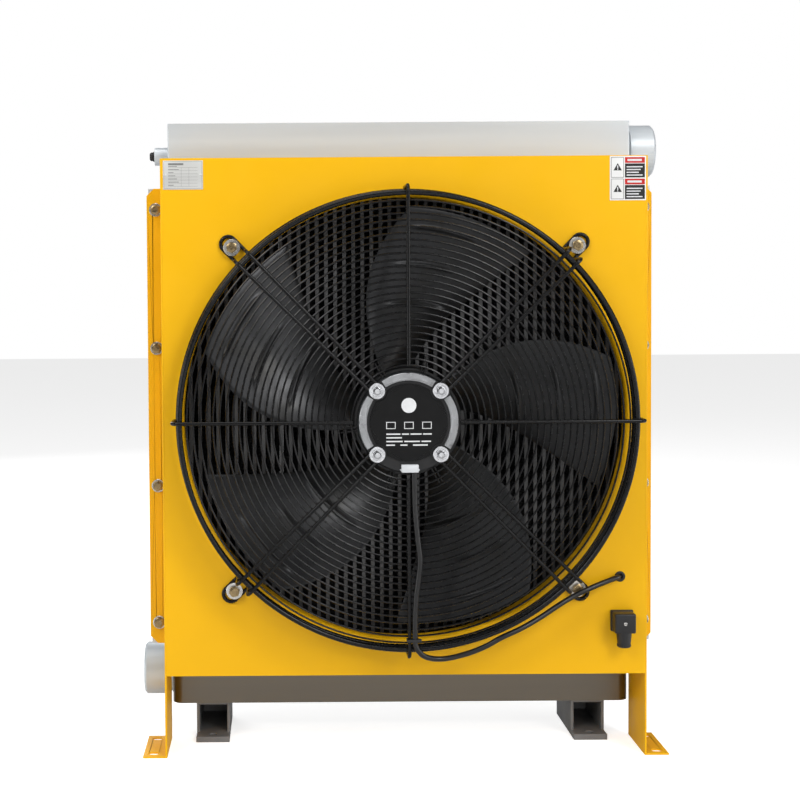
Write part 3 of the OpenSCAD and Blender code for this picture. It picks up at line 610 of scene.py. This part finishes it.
def make_blades():
    across = [0, 0.004, 0.012] + [k / STEPS_ACROSS for k in range(1, STEPS_ACROSS)] + [0.988, 0.996, 1]
    along = {0, 0.994, 0.998, 1} | {k / STEPS_ALONG for k in range(1, STEPS_ALONG)}
    for share, _, _ in RIBS:
        along |= {(share * TIP_R - ROOT_R + k * MM) / (TIP_R - ROOT_R) for k in range(-6, 7)}
    for blade in range(BLADE_COUNT):
        turn = -360 / BLADE_COUNT * blade
        rows = []
        for u in sorted(along):
            front = [blade_point(u, v, -1) for v in across]
            back = [blade_point(u, v, 1) for v in reversed(across)]
            rows.append([polar(r, a + turn, y) for r, a, y in front + back])
        shape = Shape()
        shape.grid(rows, wrap_cols=True)
        half = len(across)
        count = len(rows[0])
        for row, flip in ((0, True), (len(rows) - 1, False)):
            base = row * count
            strip = [(base + j, base + j + 1, base + count - 2 - j, base + count - 1 - j)
                     for j in range(half - 1)]
            shape.faces.extend([f[::-1] if flip else f for f in strip])
        name = f"blade_{blade + 1}"
        shape.make(name, "blade_steel", "impeller", [f"fan_blade_{blade + 1}"], smooth=50)


make_blades()

# ---- guard


def arm_path(angle):
    """A double arm's wire, from its foot loop round the motor bolt and back."""
    run = FOOT_LOOP_R - MOTOR_BOLT_R
    lean = math.asin((ARM_OUTER - ARM_INNER) / run)
    x, y, z = Vector((1, 0, 0)), Vector((0, 1, 0)), Vector((0, 0, 1))
    out = math.cos(lean) * x + math.sin(lean) * y
    start = ARM_INNER * (math.cos(lean) * y - math.sin(lean) * x)
    leg = LEG_R - MOTOR_BOLT_R
    top = ARM_Y + BEND_R
    foot = FOOT_WIRE_Y - BEND_R
    lean_deg = math.degrees(lean)
    half = arc(run * x + FOOT_WIRE_Y * z, ARM_OUTER, x, y, 0.6, 90 + lean_deg, 16)
    half += arc(start + (leg + BEND_R) * out + foot * z, BEND_R, out, z, 90, 180, 8)
    half += arc(start + (leg - BEND_R) * out + top * z, BEND_R, out, z, 0, -90, 8)
    half += arc(ARM_Y * z, ARM_INNER, x, y, 90 + lean_deg, 180, 12)
    both = half + [Vector((p.x, -p.y, p.z)) for p in reversed(half[:-1])]
    a = math.radians(angle)
    path = []
    for p in both:
        r = p.x + MOTOR_BOLT_R
        path.append(Vector((AXIS.x + r * math.cos(a) - p.y * math.sin(a), p.z,
                            AXIS.z + r * math.sin(a) + p.y * math.cos(a))))
    return path


def stay_path(angle):
    """A single stay, from the first ring out to the rim and back along its side."""
    inner = RING_FIRST - 1 * MM
    end_y = THIN_RIM_Y + 2 * MM
    bend = [(LEG_R - BEND_R + BEND_R * math.sin(t), ARM_Y + BEND_R - BEND_R * math.cos(t))
            for t in [math.pi / 2 * k / 8 for k in range(9)]]
    return [polar(r, angle, y) for r, y in [(inner, ARM_Y), *bend, (LEG_R, end_y)]]


def ring_radii():
    """Radii of the thin front rings, with the thick one last."""
    return [RING_FIRST + i * RING_PITCH for i in range(RING_COUNT)] + [RIM_R]


def make_rings():
    rings = Shape()
    for r in ring_radii()[:-1]:
        rings.ring(r, RING_Y, RING_D, 168, 8)
    rings.ring(RIM_R, RIM_Y, RIM_D, 192, 14)
    rings.make("guard_front_rings", "black_wire", replaces=["guard_rings"])
    back = Shape()
    back.ring(BACK_RIM_R, BACK_RIM_Y, RIM_D, 192, 14)
    back.ring(THIN_RIM_R, THIN_RIM_Y, RING_D, 192, 10)
    back.make("guard_rim_rings", "black_wire", replaces=["guard_back_rings"])


def make_arms_and_stays():
    for node, angle in ARM_ANGLES.items():
        arm = Shape()
        arm.tube(arm_path(angle), STAY_D / 2, 16)
        arm.make(node + "_wire", "black_wire", replaces=[node], smooth=60)
    stays = Shape()
    for angle in STAY_ANGLES:
        stays.tube(stay_path(angle), STAY_D / 2, 16)
    stays.make("guard_stay_wires", "black_wire", replaces=["guard_stays"], smooth=60)


def make_short_stays():
    short = Shape()
    short_y = RING_Y + RING_D
    for angle in SHORT_STAY_ANGLES:
        a = math.radians(angle)
        along = Vector((math.cos(a), 0, math.sin(a)))
        side = Vector((-math.sin(a), 0, math.cos(a)))
        start = polar(SHORT_STAY_START, angle, short_y)
        end = start + SHORT_STAY_LENGTH * along
        for s in (-SHORT_STAY_OFFSET, SHORT_STAY_OFFSET):
            short.tube([start + s * side, end + s * side], RING_D / 2, 10)
    short.make("guard_short_wires", "black_wire", replaces=["guard_short_stays"], smooth=60)


def make_weld_nuggets():
    welds = Shape()
    weld_y = RING_Y - RING_D * 0.45
    for angle in STAY_ANGLES:
        for r in ring_radii():
            welds.blob(polar(r, angle, weld_y), NUGGET)
    lean = (ARM_OUTER - ARM_INNER) / (FOOT_LOOP_R - MOTOR_BOLT_R)
    for angle in ARM_ANGLES.values():
        a = math.radians(angle)
        side = Vector((-math.sin(a), 0, math.cos(a)))
        for r in ring_radii():
            off = ARM_INNER + lean * (r - MOTOR_BOLT_R)
            for s in (-off, off):
                welds.blob(polar(r, angle, weld_y) + s * side, NUGGET)
    welds.make("guard_weld_nuggets", "black_wire")


make_rings()
make_arms_and_stays()
make_short_stays()
make_weld_nuggets()

# ---- core fins

FIN_STEP = 2.1 * MM
FIN_T = 0.16 * MM
FIN_WAVE = 4.8 * MM
TUBE_T = 5 * MM
TUBE_COUNT = 49
FIN_INSET = 1.5 * MM
FIN_CLEARANCE = 0.1 * MM


def make_fins():
    """Corrugated strips, folded in every gap between the tubes."""
    lo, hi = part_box("core_fins")
    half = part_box("core_side_right")[0].x
    gap = (2 * half - TUBE_COUNT * TUBE_T) / (TUBE_COUNT + 1)
    count = round((hi.z - lo.z) / FIN_STEP)
    y0, y1 = CORE_LO.y + FIN_INSET, CORE_HI.y - FIN_INSET
    stations = ((y0, 0), ((y0 + y1) / 2, FIN_WAVE), (y1, 0))
    shape = Shape()
    for i in range(TUBE_COUNT + 1):
        x0 = -half + i * (gap + TUBE_T)
        rows = []
        for k in range(count + 1):
            x = x0 + (FIN_CLEARANCE if k % 2 == 0 else gap - FIN_CLEARANCE - FIN_T)
            z = lo.z + (hi.z - lo.z) * k / count
            side = [(y, min(hi.z, z + wave)) for y, wave in stations]
            rows.append([Vector((x, y, h)) for y, h in side]
                        + [Vector((x + FIN_T, y, h)) for y, h in reversed(side)])
        shape.grid(rows, wrap_cols=True, caps=True)
    # The fins' near-black finish is painted shade between the tubes
    shape.make("core_corrugated_fins", "fin_aluminium", replaces=["core_fins"], smooth=10)


make_fins()

# ---- bolts, nuts and washers

FRONT = (0, -1, 0)
BACK = (0, 1, 0)
M8_FLATS = 13 * MM
M8_HEAD = 5.5 * MM
M8_R = 4 * MM
THREAD_PITCH = 1.25 * MM
M6_FLATS = 10 * MM
M6_R = 3 * MM
NUT_BORE = M8_R + 0.1 * MM
FLANGE_ROWS = 4
# Washers as outer radius, bore radius and thickness
WASHER_T = 2 * MM
FLANGE_WASHER = (9 * MM, 4.2 * MM, WASHER_T)
GUARD_WASHER = (11 * MM, 4.2 * MM, WASHER_T)
MOTOR_WASHER = (10.2 * MM, 3.2 * MM, 1.4 * MM)
SMALL_WASHER = (7.2 * MM, 3.2 * MM, 1.0 * MM)


def washer(shape, centre, axis, r_out, r_in, t):
    """A flat washer with eased corners."""
    e = 0.3 * MM
    shape.loop(centre, axis, [(r_in, 0), (r_out - e, 0), (r_out, e), (r_out, t - e), (r_out - e, t),
                              (r_in + e, t), (r_in, t - e)])


def bolt(shape, seat, flats, head, r, length, turn):
    """A hex bolt whose head stands on seat and faces the front."""
    seat = Vector(seat)
    skirt = 0.5 * MM
    shape.turned(seat, FRONT, [(flats * 0.46, 0), (flats * 0.48, skirt)], 48)
    shape.hexagon(seat + Vector(FRONT) * skirt, FRONT, flats, head - skirt, turn=turn)
    shape.turned(seat + Vector(FRONT) * head, FRONT, [(flats * 0.34, -0.1 * MM),
                                                       (flats * 0.30, 0.02 * MM)], 48)
    grip = length * 0.45
    shape.turned(seat, BACK, [(r, 0), (r, grip)], 32)
    shape.thread(seat, BACK, r, grip, length, THREAD_PITCH)


def make_set(kind, bolts, nuts, washers):
    """Makes the objects of one kind of through bolt."""
    bolts.make(f"{kind}_hex_bolts", "zinc_yellow", slot="zinc_steel", replaces=[f"{kind}_bolts"],
               smooth=32)
    nuts.make(f"{kind}_hex_nuts", "zinc_steel", replaces=[f"{kind}_nuts"], smooth=32)
    washers.make(f"{kind}_flat_washers", "zinc_steel", replaces=[f"{kind}_washers"], smooth=32)


def make_flange_bolts():
    bolts, nuts, washers = Shape(), Shape(), Shape()
    lo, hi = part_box("flange_bolts")
    nut_lo, nut_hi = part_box("flange_nuts")
    head_r = M8_FLATS / 2 / math.cos(math.pi / 6)
    seat_y = lo.y + M8_HEAD
    pitch = (hi.z - lo.z - M8_FLATS) / (FLANGE_ROWS - 1)
    for sign in (-1, 1):
        x = sign * (hi.x - head_r)
        for k in range(FLANGE_ROWS):
            z = lo.z + M8_FLATS / 2 + k * pitch
            turn = 0.5 + 1.7 * k + sign
            bolt(bolts, (x, seat_y, z), M8_FLATS, M8_HEAD, M8_R, hi.y - seat_y, turn)
            washer(washers, (x, seat_y + WASHER_T, z), FRONT, *FLANGE_WASHER)
            washer(washers, (x, nut_lo.y - WASHER_T, z), BACK, *FLANGE_WASHER)
            nuts.hexagon((x, nut_lo.y, z), BACK, M8_FLATS, nut_hi.y - nut_lo.y, bore=NUT_BORE,
                         both=True, turn=turn)
    make_set("flange", bolts, nuts, washers)


def make_guard_bolts():
    bolts, nuts, washers = Shape(), Shape(), Shape()
    lo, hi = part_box("guard_bolts")
    nut_lo, nut_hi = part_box("guard_nuts")
    seat_y = lo.y + M8_HEAD
    for k, angle in enumerate(ARM_ANGLES.values()):
        place = polar(TAB_R, angle, seat_y)
        turn = 0.4 + 0.9 * k
        bolt(bolts, place, M8_FLATS, M8_HEAD, M8_R, hi.y - seat_y, turn)
        washer(washers, place + Vector((0, WASHER_T, 0)), FRONT, *GUARD_WASHER)
        nuts.hexagon((place.x, nut_lo.y, place.z), BACK, M8_FLATS, nut_hi.y - nut_lo.y,
                     bore=NUT_BORE, both=True, turn=turn)
    make_set("guard", bolts, nuts, washers)


def make_motor_bolts():
    """The motor's bolts, each on a large washer with a small one on top."""
    bolts, washers = Shape(), Shape()
    lo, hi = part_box("motor_bolts")
    washer_y = ARM_Y - STAY_D / 2
    washer_t, small_t = MOTOR_WASHER[2], SMALL_WASHER[2]
    for k, angle in enumerate(ARM_ANGLES.values()):
        place = polar(MOTOR_BOLT_R, angle, washer_y)
        washer(washers, place, FRONT, *MOTOR_WASHER)
        small_place = place - Vector((0, washer_t, 0))
        washer(washers, small_place, FRONT, *SMALL_WASHER)
        bolt(bolts, small_place - Vector((0, small_t, 0)), M6_FLATS,
             washer_y - lo.y - washer_t - small_t, M6_R, hi.y - washer_y, 0.3 + 1.1 * k)
    bolts.make("motor_hex_bolts", "zinc_bright", slot="zinc_steel", replaces=["motor_bolts"],
               smooth=32)
    washers.make("motor_washers", "zinc_bright", slot="zinc_steel", smooth=32)


make_flange_bolts()
make_guard_bolts()
make_motor_bolts()

# ---- motor face

# The motor's silver rim: a band with a raised line on it, in three stretches round the fan axis at the sides and
# top; the stretch between the lower bolts is left out, so the black flange shows there as painted shade
BAND_R = (53.3 * MM, 63.6 * MM)
BAND_HALF_ANGLE = 33
BAND_EDGE = 0.8 * MM
LIT_BAND_MIDDLES = (0, 90, 180)
LINE_R = (55.2 * MM, 56.4 * MM)
LINE_HALF_ANGLE = 32
LINE_EDGE = 0.3 * MM
LINE_RISE = 0.5 * MM

# Plain marks on the motor's cover disc; their places are in millimetres from the fan axis
MARK_T = 0.12 * MM
DOT_R = 9.6 * MM
DOT_UP = 22 * MM
OUTLINE_RUNS = ((-29, -17), (-6, 6), (17, 29))
OUTLINE_Z = (-8, 1)
OUTLINE_W = 0.9 * MM
BAR_H = 1.7
BARS = (
    (-15.5, ((-29, -11), (-9, 0), (2, 16), (18, 29))),
    (-20.2, ((-29, -9),)),
    (-24.9, ((-29, -8), (-6, 14), (16, 28))),
    (-29.6, ((-29, -18), (-11, -2), (5, 24))),
)


def arc_band(shape, r_in, r_out, y_front, y_back, start, end, edge):
    """A raised band round the fan axis, with its front corners eased."""
    count = max(8, int(abs(end - start) / 2))
    profile = [(r_in, y_back), (r_in, y_front + edge), (r_in + edge, y_front),
               (r_out - edge, y_front), (r_out, y_front + edge), (r_out, y_back)]
    rows = [[polar(r, start + (end - start) * k / count, y) for r, y in profile]
            for k in range(count + 1)]
    shape.grid(rows, wrap_cols=True, caps=True)


def frame_box(shape, x0, x1, z0, z1, y, t, w):
    """A flat rectangular outline that stands t in front of y."""
    for lo, hi in (((x0, z0), (x1, z0 + w)), ((x0, z1 - w), (x1, z1)),
                   ((x0, z0 + w), (x0 + w, z1 - w)), ((x1 - w, z0 + w), (x1, z1 - w))):
        shape.box((lo[0], y - t, lo[1]), (hi[0], y + t / 2, hi[1]))


def make_motor_rim():
    lo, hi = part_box("motor_rim")
    rim = Shape()
    # Silver only at the sides and top; the bare bottom is painted shade on the rim
    for middle in LIT_BAND_MIDDLES:
        arc_band(rim, *BAND_R, lo.y, hi.y, middle - BAND_HALF_ANGLE, middle + BAND_HALF_ANGLE,
                 BAND_EDGE)
        arc_band(rim, *LINE_R, lo.y - LINE_RISE, hi.y, middle - LINE_HALF_ANGLE,
                 middle + LINE_HALF_ANGLE, LINE_EDGE)
    rim.make("motor_turned_rim", "motor_silver", replaces=["motor_rim"], smooth=30)


def make_motor_marks():
    """A dot, three outlines and rows of bars in place of printing."""
    print_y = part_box("motor_label")[0].y
    marks = Shape()
    marks.turned((AXIS.x, print_y, AXIS.z + DOT_UP), FRONT,
                 [(DOT_R, -0.05 * MM), (DOT_R - 0.1 * MM, MARK_T)], 64)
    for x0, x1 in OUTLINE_RUNS:
        frame_box(marks, AXIS.x + x0 * MM, AXIS.x + x1 * MM, AXIS.z + OUTLINE_Z[0] * MM,
                  AXIS.z + OUTLINE_Z[1] * MM, print_y, MARK_T, OUTLINE_W)
    for z, runs in BARS:
        for x0, x1 in runs:
            marks.box((AXIS.x + x0 * MM, print_y - MARK_T, AXIS.z + z * MM),
                      (AXIS.x + x1 * MM, print_y + MARK_T / 2, AXIS.z + (z + BAR_H) * MM))
    marks.make("motor_label_marks", "print_white", slot="label_black")


def make_cable_outlet():
    outlet = Shape()
    lo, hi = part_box("cable_outlet")
    outlet.box(lo, hi, 1.0 * MM)
    outlet.box((lo.x - 1.5 * MM, lo.y + 2.5 * MM, lo.z + 2 * MM),
               (hi.x + 1.5 * MM, hi.y, lo.z + 4 * MM), 0.5 * MM)
    outlet.make("cable_outlet_block", "outlet_plastic", replaces=["cable_outlet"], smooth=35)


make_motor_rim()
round_edges(NODES["motor_label"], 0.5 * MM)
make_motor_marks()
make_cable_outlet()

# ---- lead, grommet, tie and plug

DOWN = (0, 0, -1)
BLOCK_H = 26 * MM
NECK_SUNK = 2 * MM
NECK_PROFILE = ((9.9 * MM, 0), (9.5 * MM, 8 * MM), (8.7 * MM, 16 * MM), (8.2 * MM, 18 * MM))
NUT_DROP = 16.5 * MM
NUT_RIBS = 20
NUT_RIB_R = 8.6 * MM


def smooth_route(points, steps):
    """Catmull-Rom points through a route."""
    path = []
    last = len(points) - 1
    for i in range(last):
        a, b = points[max(0, i - 1)], points[i]
        c, d = points[i + 1], points[min(last, i + 2)]
        for k in range(steps):
            t = k / steps
            path.append(0.5 * (2 * b + (c - a) * t + (2 * a - 5 * b + 4 * c - d) * t * t
                               + (3 * b - a - 3 * c + d) * t ** 3))
    return path + [points[last]]


def make_lead():
    lead = Shape()
    lead.tube(smooth_route([Vector(p) * MM for p in LEAD_POINTS], 8), LEAD_D / 2, 20)
    lead.make("motor_lead_cable", "cable_black", replaces=["motor_lead"], smooth=60)


def make_grommet():
    """The lead's rubber grommet, with a groove that the panel's edge sits in."""
    lo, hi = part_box("lead_grommet")
    middle = (lo + hi) / 2
    r = (hi.x - lo.x) / 2
    depth = hi.y - lo.y
    grommet = Shape()
    grommet.loop((middle.x, lo.y, middle.z), BACK, [
        (3.6 * MM, 0.5 * MM), (4.4 * MM, 0), (r - 1 * MM, 0), (r, 0.6 * MM), (r, 1.2 * MM),
        (5.4 * MM, 1.2 * MM), (5.4 * MM, depth - 1.2 * MM), (r, depth - 1.2 * MM),
        (r, depth - 0.5 * MM), (r - 0.8 * MM, depth), (4.2 * MM, depth), (3.6 * MM, depth - 0.6 * MM)])
    grommet.make("lead_rubber_grommet", "rubber_black", replaces=["lead_grommet"], smooth=50)


def make_plug_housing():
    """The plug's base, its square block, its neck and its ribbed gland nut."""
    base_lo, base_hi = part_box("plug_base")
    base = Shape()
    base.box(base_lo, base_hi, 1.6 * MM)
    base.make("plug_gasket_base", "plug_black", replaces=["plug_base"], smooth=35)
    lo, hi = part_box("plug_body")
    middle_x = (lo.x + hi.x) / 2
    block_lo = Vector((lo.x, lo.y, hi.z - BLOCK_H))
    body = Shape()
    body.box(block_lo, (hi.x, hi.y, hi.z), 2.2 * MM, 4)
    body.box((lo.x + 0.6 * MM, hi.y - 5 * MM, block_lo.z - 0.6 * MM),
             (hi.x - 0.6 * MM, hi.y - 0.2 * MM, hi.z - 0.4 * MM), 0.8 * MM)
    neck_y = (lo.y + hi.y) / 2
    neck_top = block_lo.z + NECK_SUNK
    body.turned((middle_x, neck_y, neck_top), DOWN, NECK_PROFILE, 64)
    nut_top = neck_top - NUT_DROP
    nut_h = nut_top - lo.z
    nut = Shape()
    nut.turned((middle_x, neck_y, nut_top), DOWN, [
        (8.3 * MM, 0), (8.8 * MM, 0.6 * MM), (8.8 * MM, nut_h - 1.2 * MM), (7.6 * MM, nut_h),
        (5.2 * MM, nut_h)], 64)
    for a in full_turn(NUT_RIBS):
        foot = Vector((middle_x + NUT_RIB_R * math.cos(a), neck_y + NUT_RIB_R * math.sin(a), 0))
        nut.tube([foot + Vector((0, 0, nut_top - 0.8 * MM)), foot + Vector((0, 0, lo.z + 1.4 * MM))],
                 0.6 * MM, 8)
    body.make("plug_housing", "plug_black", replaces=["plug_body"], smooth=35)
    nut.make("plug_gland_nut", "plug_black", smooth=35)


def make_plug_screw():
    """The plug's slotted centre screw in its well; the slot is a thin black bar on the head, painted shade in
    place of a cut.
    """
    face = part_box("plug_body")[0].y
    screw_lo, screw_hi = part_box("plug_screw")
    middle = (screw_lo + screw_hi) / 2
    well = Shape()
    well.loop((middle.x, face - 0.1 * MM, middle.z), BACK, [
        (3.2 * MM, 0), (4.8 * MM, 0), (5.0 * MM, 0.5 * MM), (5.0 * MM, 1.2 * MM), (3.2 * MM, 1.2 * MM)],
        48)
    well.make("plug_screw_well", "rubber_black", slot="plug_black", smooth=35)
    screw = Shape()
    screw.turned((middle.x, face + 1.5 * MM, middle.z), FRONT, [
        (2.7 * MM, 0), (2.7 * MM, 1.2 * MM), (2.2 * MM, 1.6 * MM), (1.0 * MM, 1.75 * MM)], 40)
    screw.make("plug_centre_screw", "zinc_steel", replaces=["plug_screw"], smooth=30)
    # The slot is not cut: a thin black bar across the head stands for its painted shade
    slot_shade_bar = Shape()
    slot_shade_bar.box((middle.x - 2.2 * MM, face - 0.3 * MM, middle.z - 0.35 * MM),
                 (middle.x + 2.2 * MM, face + 0.1 * MM, middle.z + 0.35 * MM))
    slot_shade_bar.make("plug_screw_slot_painted_shade", "print_black_and_painted_shade", slot="plug_black")


make_lead()
make_grommet()
round_edges(NODES["cable_tie"], 0.4 * MM)
make_plug_housing()
make_plug_screw()

# ---- nameplate and safety label

PLATE_T = 0.6 * MM
PLATE_LINE_T = 0.05 * MM
PLATE_MARGIN = 7 * MM
PLATE_FRAME = 1.2 * MM
PLATE_ROWS = 7
PLATE_FIRST_ROW = 4 * MM
PLATE_ROW_PITCH = 4.1 * MM
RULE_W = 0.25 * MM
LABEL_PRINT_T = 0.06 * MM
LABEL_EDGE = 1.6 * MM
LABEL_GAP = 0.8 * MM
LABEL_SPLIT = 0.40
LABEL_HEAD = 7.5 * MM
TRIANGLE_R = 6.4 * MM
STROKE_HALF = 0.7 * MM


def make_nameplate():
    """A riveted plate with a frame, a table's rules and short bars in place of printing."""
    lo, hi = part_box("nameplate")
    face = FACE_Y - PLATE_T
    plate = Shape()
    plate.box((lo.x, face, lo.z), (hi.x, FACE_Y, hi.z), 0.25 * MM)
    for x in (lo.x + 3 * MM, hi.x - 3 * MM):
        plate.turned((x, face, (lo.z + hi.z) / 2), FRONT, [
            (1.9 * MM, -0.1 * MM), (1.8 * MM, 0.4 * MM), (1.2 * MM, 0.85 * MM), (0.4 * MM, 1.0 * MM)], 32)
    plate.make("nameplate_plate", "plate_silver", replaces=["nameplate"], smooth=30)
    lines = Shape()
    front, back = face - PLATE_LINE_T, face + PLATE_LINE_T
    frame_box(lines, lo.x + PLATE_FRAME, hi.x - PLATE_FRAME, lo.z + PLATE_FRAME, hi.z - PLATE_FRAME,
              face, PLATE_LINE_T, 0.3 * MM)
    left, right = lo.x + PLATE_MARGIN, hi.x - PLATE_MARGIN
    for k in range(PLATE_ROWS):
        z = lo.z + PLATE_FIRST_ROW + PLATE_ROW_PITCH * k
        lines.box((left, front, z), (right, back, z + RULE_W))
        bar_end = left + (7 + 2.3 * (k * 3 % 4)) * MM
        lines.box((left, front, z + 1.2 * MM), (bar_end, back, z + 2.1 * MM))
    for x in (left + 17 * MM, left + 27 * MM):
        lines.box((x, front, lo.z + PLATE_FIRST_ROW), (x + RULE_W, back, lo.z + 28.6 * MM))
    lines.box((left, front, hi.z - 6.2 * MM), (left + 20 * MM, back, hi.z - 3.6 * MM))
    lines.make("nameplate_lines", "print_grey", slot="plate_silver")


def make_safety_label():
    """Two rows, each with a triangle on the left and bars on a red and a black field."""
    lo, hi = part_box("safety_label")
    face = lo.y
    film = Shape()
    film.box((lo.x, face, lo.z), (hi.x, FACE_Y, hi.z), 0.12 * MM)
    film.make("safety_label_film", "sticker_white", replaces=["safety_label"], smooth=30)
    black, red, white = Shape(), Shape(), Shape()
    print_y, top_y, back_y = face - LABEL_PRINT_T, face - 2 * LABEL_PRINT_T, face + LABEL_PRINT_T / 2
    row_h = (hi.z - lo.z - 3 * LABEL_EDGE) / 2
    left, right = lo.x + LABEL_EDGE, hi.x - LABEL_EDGE
    split = lo.x + LABEL_SPLIT * (hi.x - lo.x)
    field = split + LABEL_GAP
    for row in range(2):
        z0 = lo.z + LABEL_EDGE + row * (row_h + LABEL_EDGE)
        z1 = z0 + row_h
        frame_box(black, left, split - LABEL_GAP, z0, z1, face, LABEL_PRINT_T, 0.5 * MM)
        cx, cz = (left + split) / 2, (z0 + z1) / 2
        corners = [(cx + TRIANGLE_R * math.sin(a), cz + TRIANGLE_R * math.cos(a) - 0.8 * MM)
                   for a in full_turn(3)]
        points = [Vector((x, y, z)) for y in (print_y, face + LABEL_PRINT_T) for x, z in corners]
        black.add(points, [(0, 1, 2), (5, 4, 3), (0, 3, 4, 1), (1, 4, 5, 2), (2, 5, 3, 0)])
        for low, high in ((-1.4 * MM, 2.6 * MM), (-3.2 * MM, -2.0 * MM)):
            white.box((cx - STROKE_HALF, top_y, cz + low), (cx + STROKE_HALF, print_y, cz + high))
        head = z1 - LABEL_HEAD
        red.box((field, print_y, head), (right, back_y, z1))
        black.box((field, print_y, z0), (right, back_y, head - LABEL_GAP))
        white.box((split + 4 * MM, top_y, head + 2.4 * MM), (right - 4 * MM, print_y, z1 - 2.4 * MM))
        for k in range(4):
            z = z0 + (2.4 + 3.6 * k) * MM
            bar_end = right - (3 + 2.5 * (k * 2 % 3)) * MM
            white.box((split + 3 * MM, top_y, z), (bar_end, print_y, z + 1.5 * MM))
    black.make("safety_label_black", "print_black_and_painted_shade", slot="sticker_white")
    red.make("safety_label_red", "print_red", slot="sticker_white")
    white.make("safety_label_white", "print_white", slot="sticker_white")


make_nameplate()
make_safety_label()

# ---- core, ports and feet

PORTS = {"inlet_port": 1, "outlet_port": -1}
TANK_BEAD = 2.6 * MM
TANK_BEAD_INSET = 0.6 * MM
FOOT_BEAD = 2.2 * MM
FOOT_BEAD_SUNK = 0.3 * MM
PORT_BEAD_R = 32.6 * MM
PORT_BEAD_HALF = 1.9 * MM
PORT_BORE_R = 22.4 * MM
PORT_THREAD = (2 * MM, 29 * MM)
PORT_PITCH = 2.31 * MM
KNOB_H = 7 * MM
KNOB_RIBS = 16


def make_tank_beads():
    """Weld beads where the tanks meet the core and where bosses and feet meet the tanks."""
    upper_lo, upper_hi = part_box("upper_tank")
    lower_lo, lower_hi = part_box("lower_tank")
    beads = Shape()
    for z in (upper_lo.z, lower_hi.z):
        y0, y1 = upper_lo.y + TANK_BEAD_INSET, upper_hi.y - TANK_BEAD_INSET
        x0, x1 = upper_lo.x + TANK_BEAD_INSET, upper_hi.x - TANK_BEAD_INSET
        beads.bead((x0, y1, z), (x1, y1, z), TANK_BEAD)
        for x in (x0, x1):
            beads.bead((x, y0, z), (x, y1, z), TANK_BEAD)
    for node, sign in PORTS.items():
        lo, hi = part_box(node)
        middle = (lo + hi) / 2
        x = (lo if sign > 0 else hi).x + sign * 0.8 * MM
        path = arc(Vector((x, middle.y, middle.z)), PORT_BEAD_R, Vector((0, 1, 0)), Vector((0, 0, 1)),
                   0, 360, 120)[:-1]
        beads.tube(path, PORT_BEAD_HALF, 10, closed=True)
    foot_z = lower_lo.z - FOOT_BEAD_SUNK
    for node in ("core_foot_left", "core_foot_right"):
        lo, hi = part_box(node)
        for x in (lo.x, hi.x):
            beads.bead((x, lower_lo.y + 6 * MM, foot_z), (x, lower_hi.y - 4 * MM, foot_z), FOOT_BEAD)
    beads.make("tank_weld_beads", "bare_aluminium", smooth=60)


def make_port_threads():
    threads = Shape()
    for node, sign in PORTS.items():
        lo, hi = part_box(node)
        middle = (lo + hi) / 2
        x = (hi if sign > 0 else lo).x
        threads.thread((x, middle.y, middle.z), (-sign, 0, 0), PORT_BORE_R, *PORT_THREAD, PORT_PITCH,
                       bore=True)
    threads.make("port_thread_crests", "bare_aluminium", smooth=20)


def make_port_plug():
    """A black plug with a ribbed knob, screwed into the small port."""
    lo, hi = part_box("port_plug")
    r = (hi.z - lo.z) / 2
    grip_r = r - 1.4 * MM
    base = Vector((lo.x + KNOB_H, (lo.y + hi.y) / 2, (lo.z + hi.z) / 2))
    plug = Shape()
    plug.turned(base, (-1, 0, 0), [
        (r - 0.6 * MM, 0), (r, 0.6 * MM), (r, 2.2 * MM), (grip_r, 2.6 * MM),
        (grip_r, KNOB_H - 1.2 * MM), (r - 2.4 * MM, KNOB_H)], 48)
    plug.turned(base, (1, 0, 0), [(4.9 * MM, 0), (4.9 * MM, 12 * MM)], 32)
    for a in full_turn(KNOB_RIBS):
        rib = base + (r - 1.5 * MM) * Vector((0, math.cos(a), math.sin(a)))
        plug.tube([rib - Vector((2.6 * MM, 0, 0)), rib - Vector((5.6 * MM, 0, 0))], 0.5 * MM, 8)
    plug.make("port_plug_knob", "plug_black", replaces=["port_plug"], smooth=35)


make_tank_beads()
make_port_threads()
make_port_plug()

# ---- carried-over CAD nodes

CAD_SMOOTH_ANGLE = 28
# Widths of the rounded edges, in millimetres
EDGES = {
    "side_plate_left": 0.6, "side_plate_right": 0.6, "upper_tank": 1.2,
    "lower_tank": 1.2, "core_side_left": 0.5, "core_side_right": 0.5, "core_foot_left": 0.8,
    "core_foot_right": 0.8, "motor_flange": 0.6, "rotor_shell": 0.7, "sensor_port": 0.6,
}
# Nodes whose finish isn't the one that their material slot names: the lower tank's aluminium is painted darker and
# browner as shade
# The lower tank takes the painted shade finish instead of its aluminium
FINISH_OF = {"lower_tank": "lower_tank_painted_shade"}


def finish_cad_nodes():
    """Gives every CAD node that still shows its material, smooth shading and rounded edges."""
    for name, obj in NODES.items():
        if obj.hide_render:
            continue
        finish = MATERIALS[FINISH_OF.get(name, SLOT_OF[name])]
        if not obj.material_slots:
            obj.data.materials.append(finish)
        for place in obj.material_slots:
            place.material = finish
        obj.data.shade_smooth()
        obj.data.set_sharp_from_angle(angle=math.radians(CAD_SMOOTH_ANGLE))
        if name in EDGES:
            round_edges(obj, EDGES[name] * MM)


finish_cad_nodes()
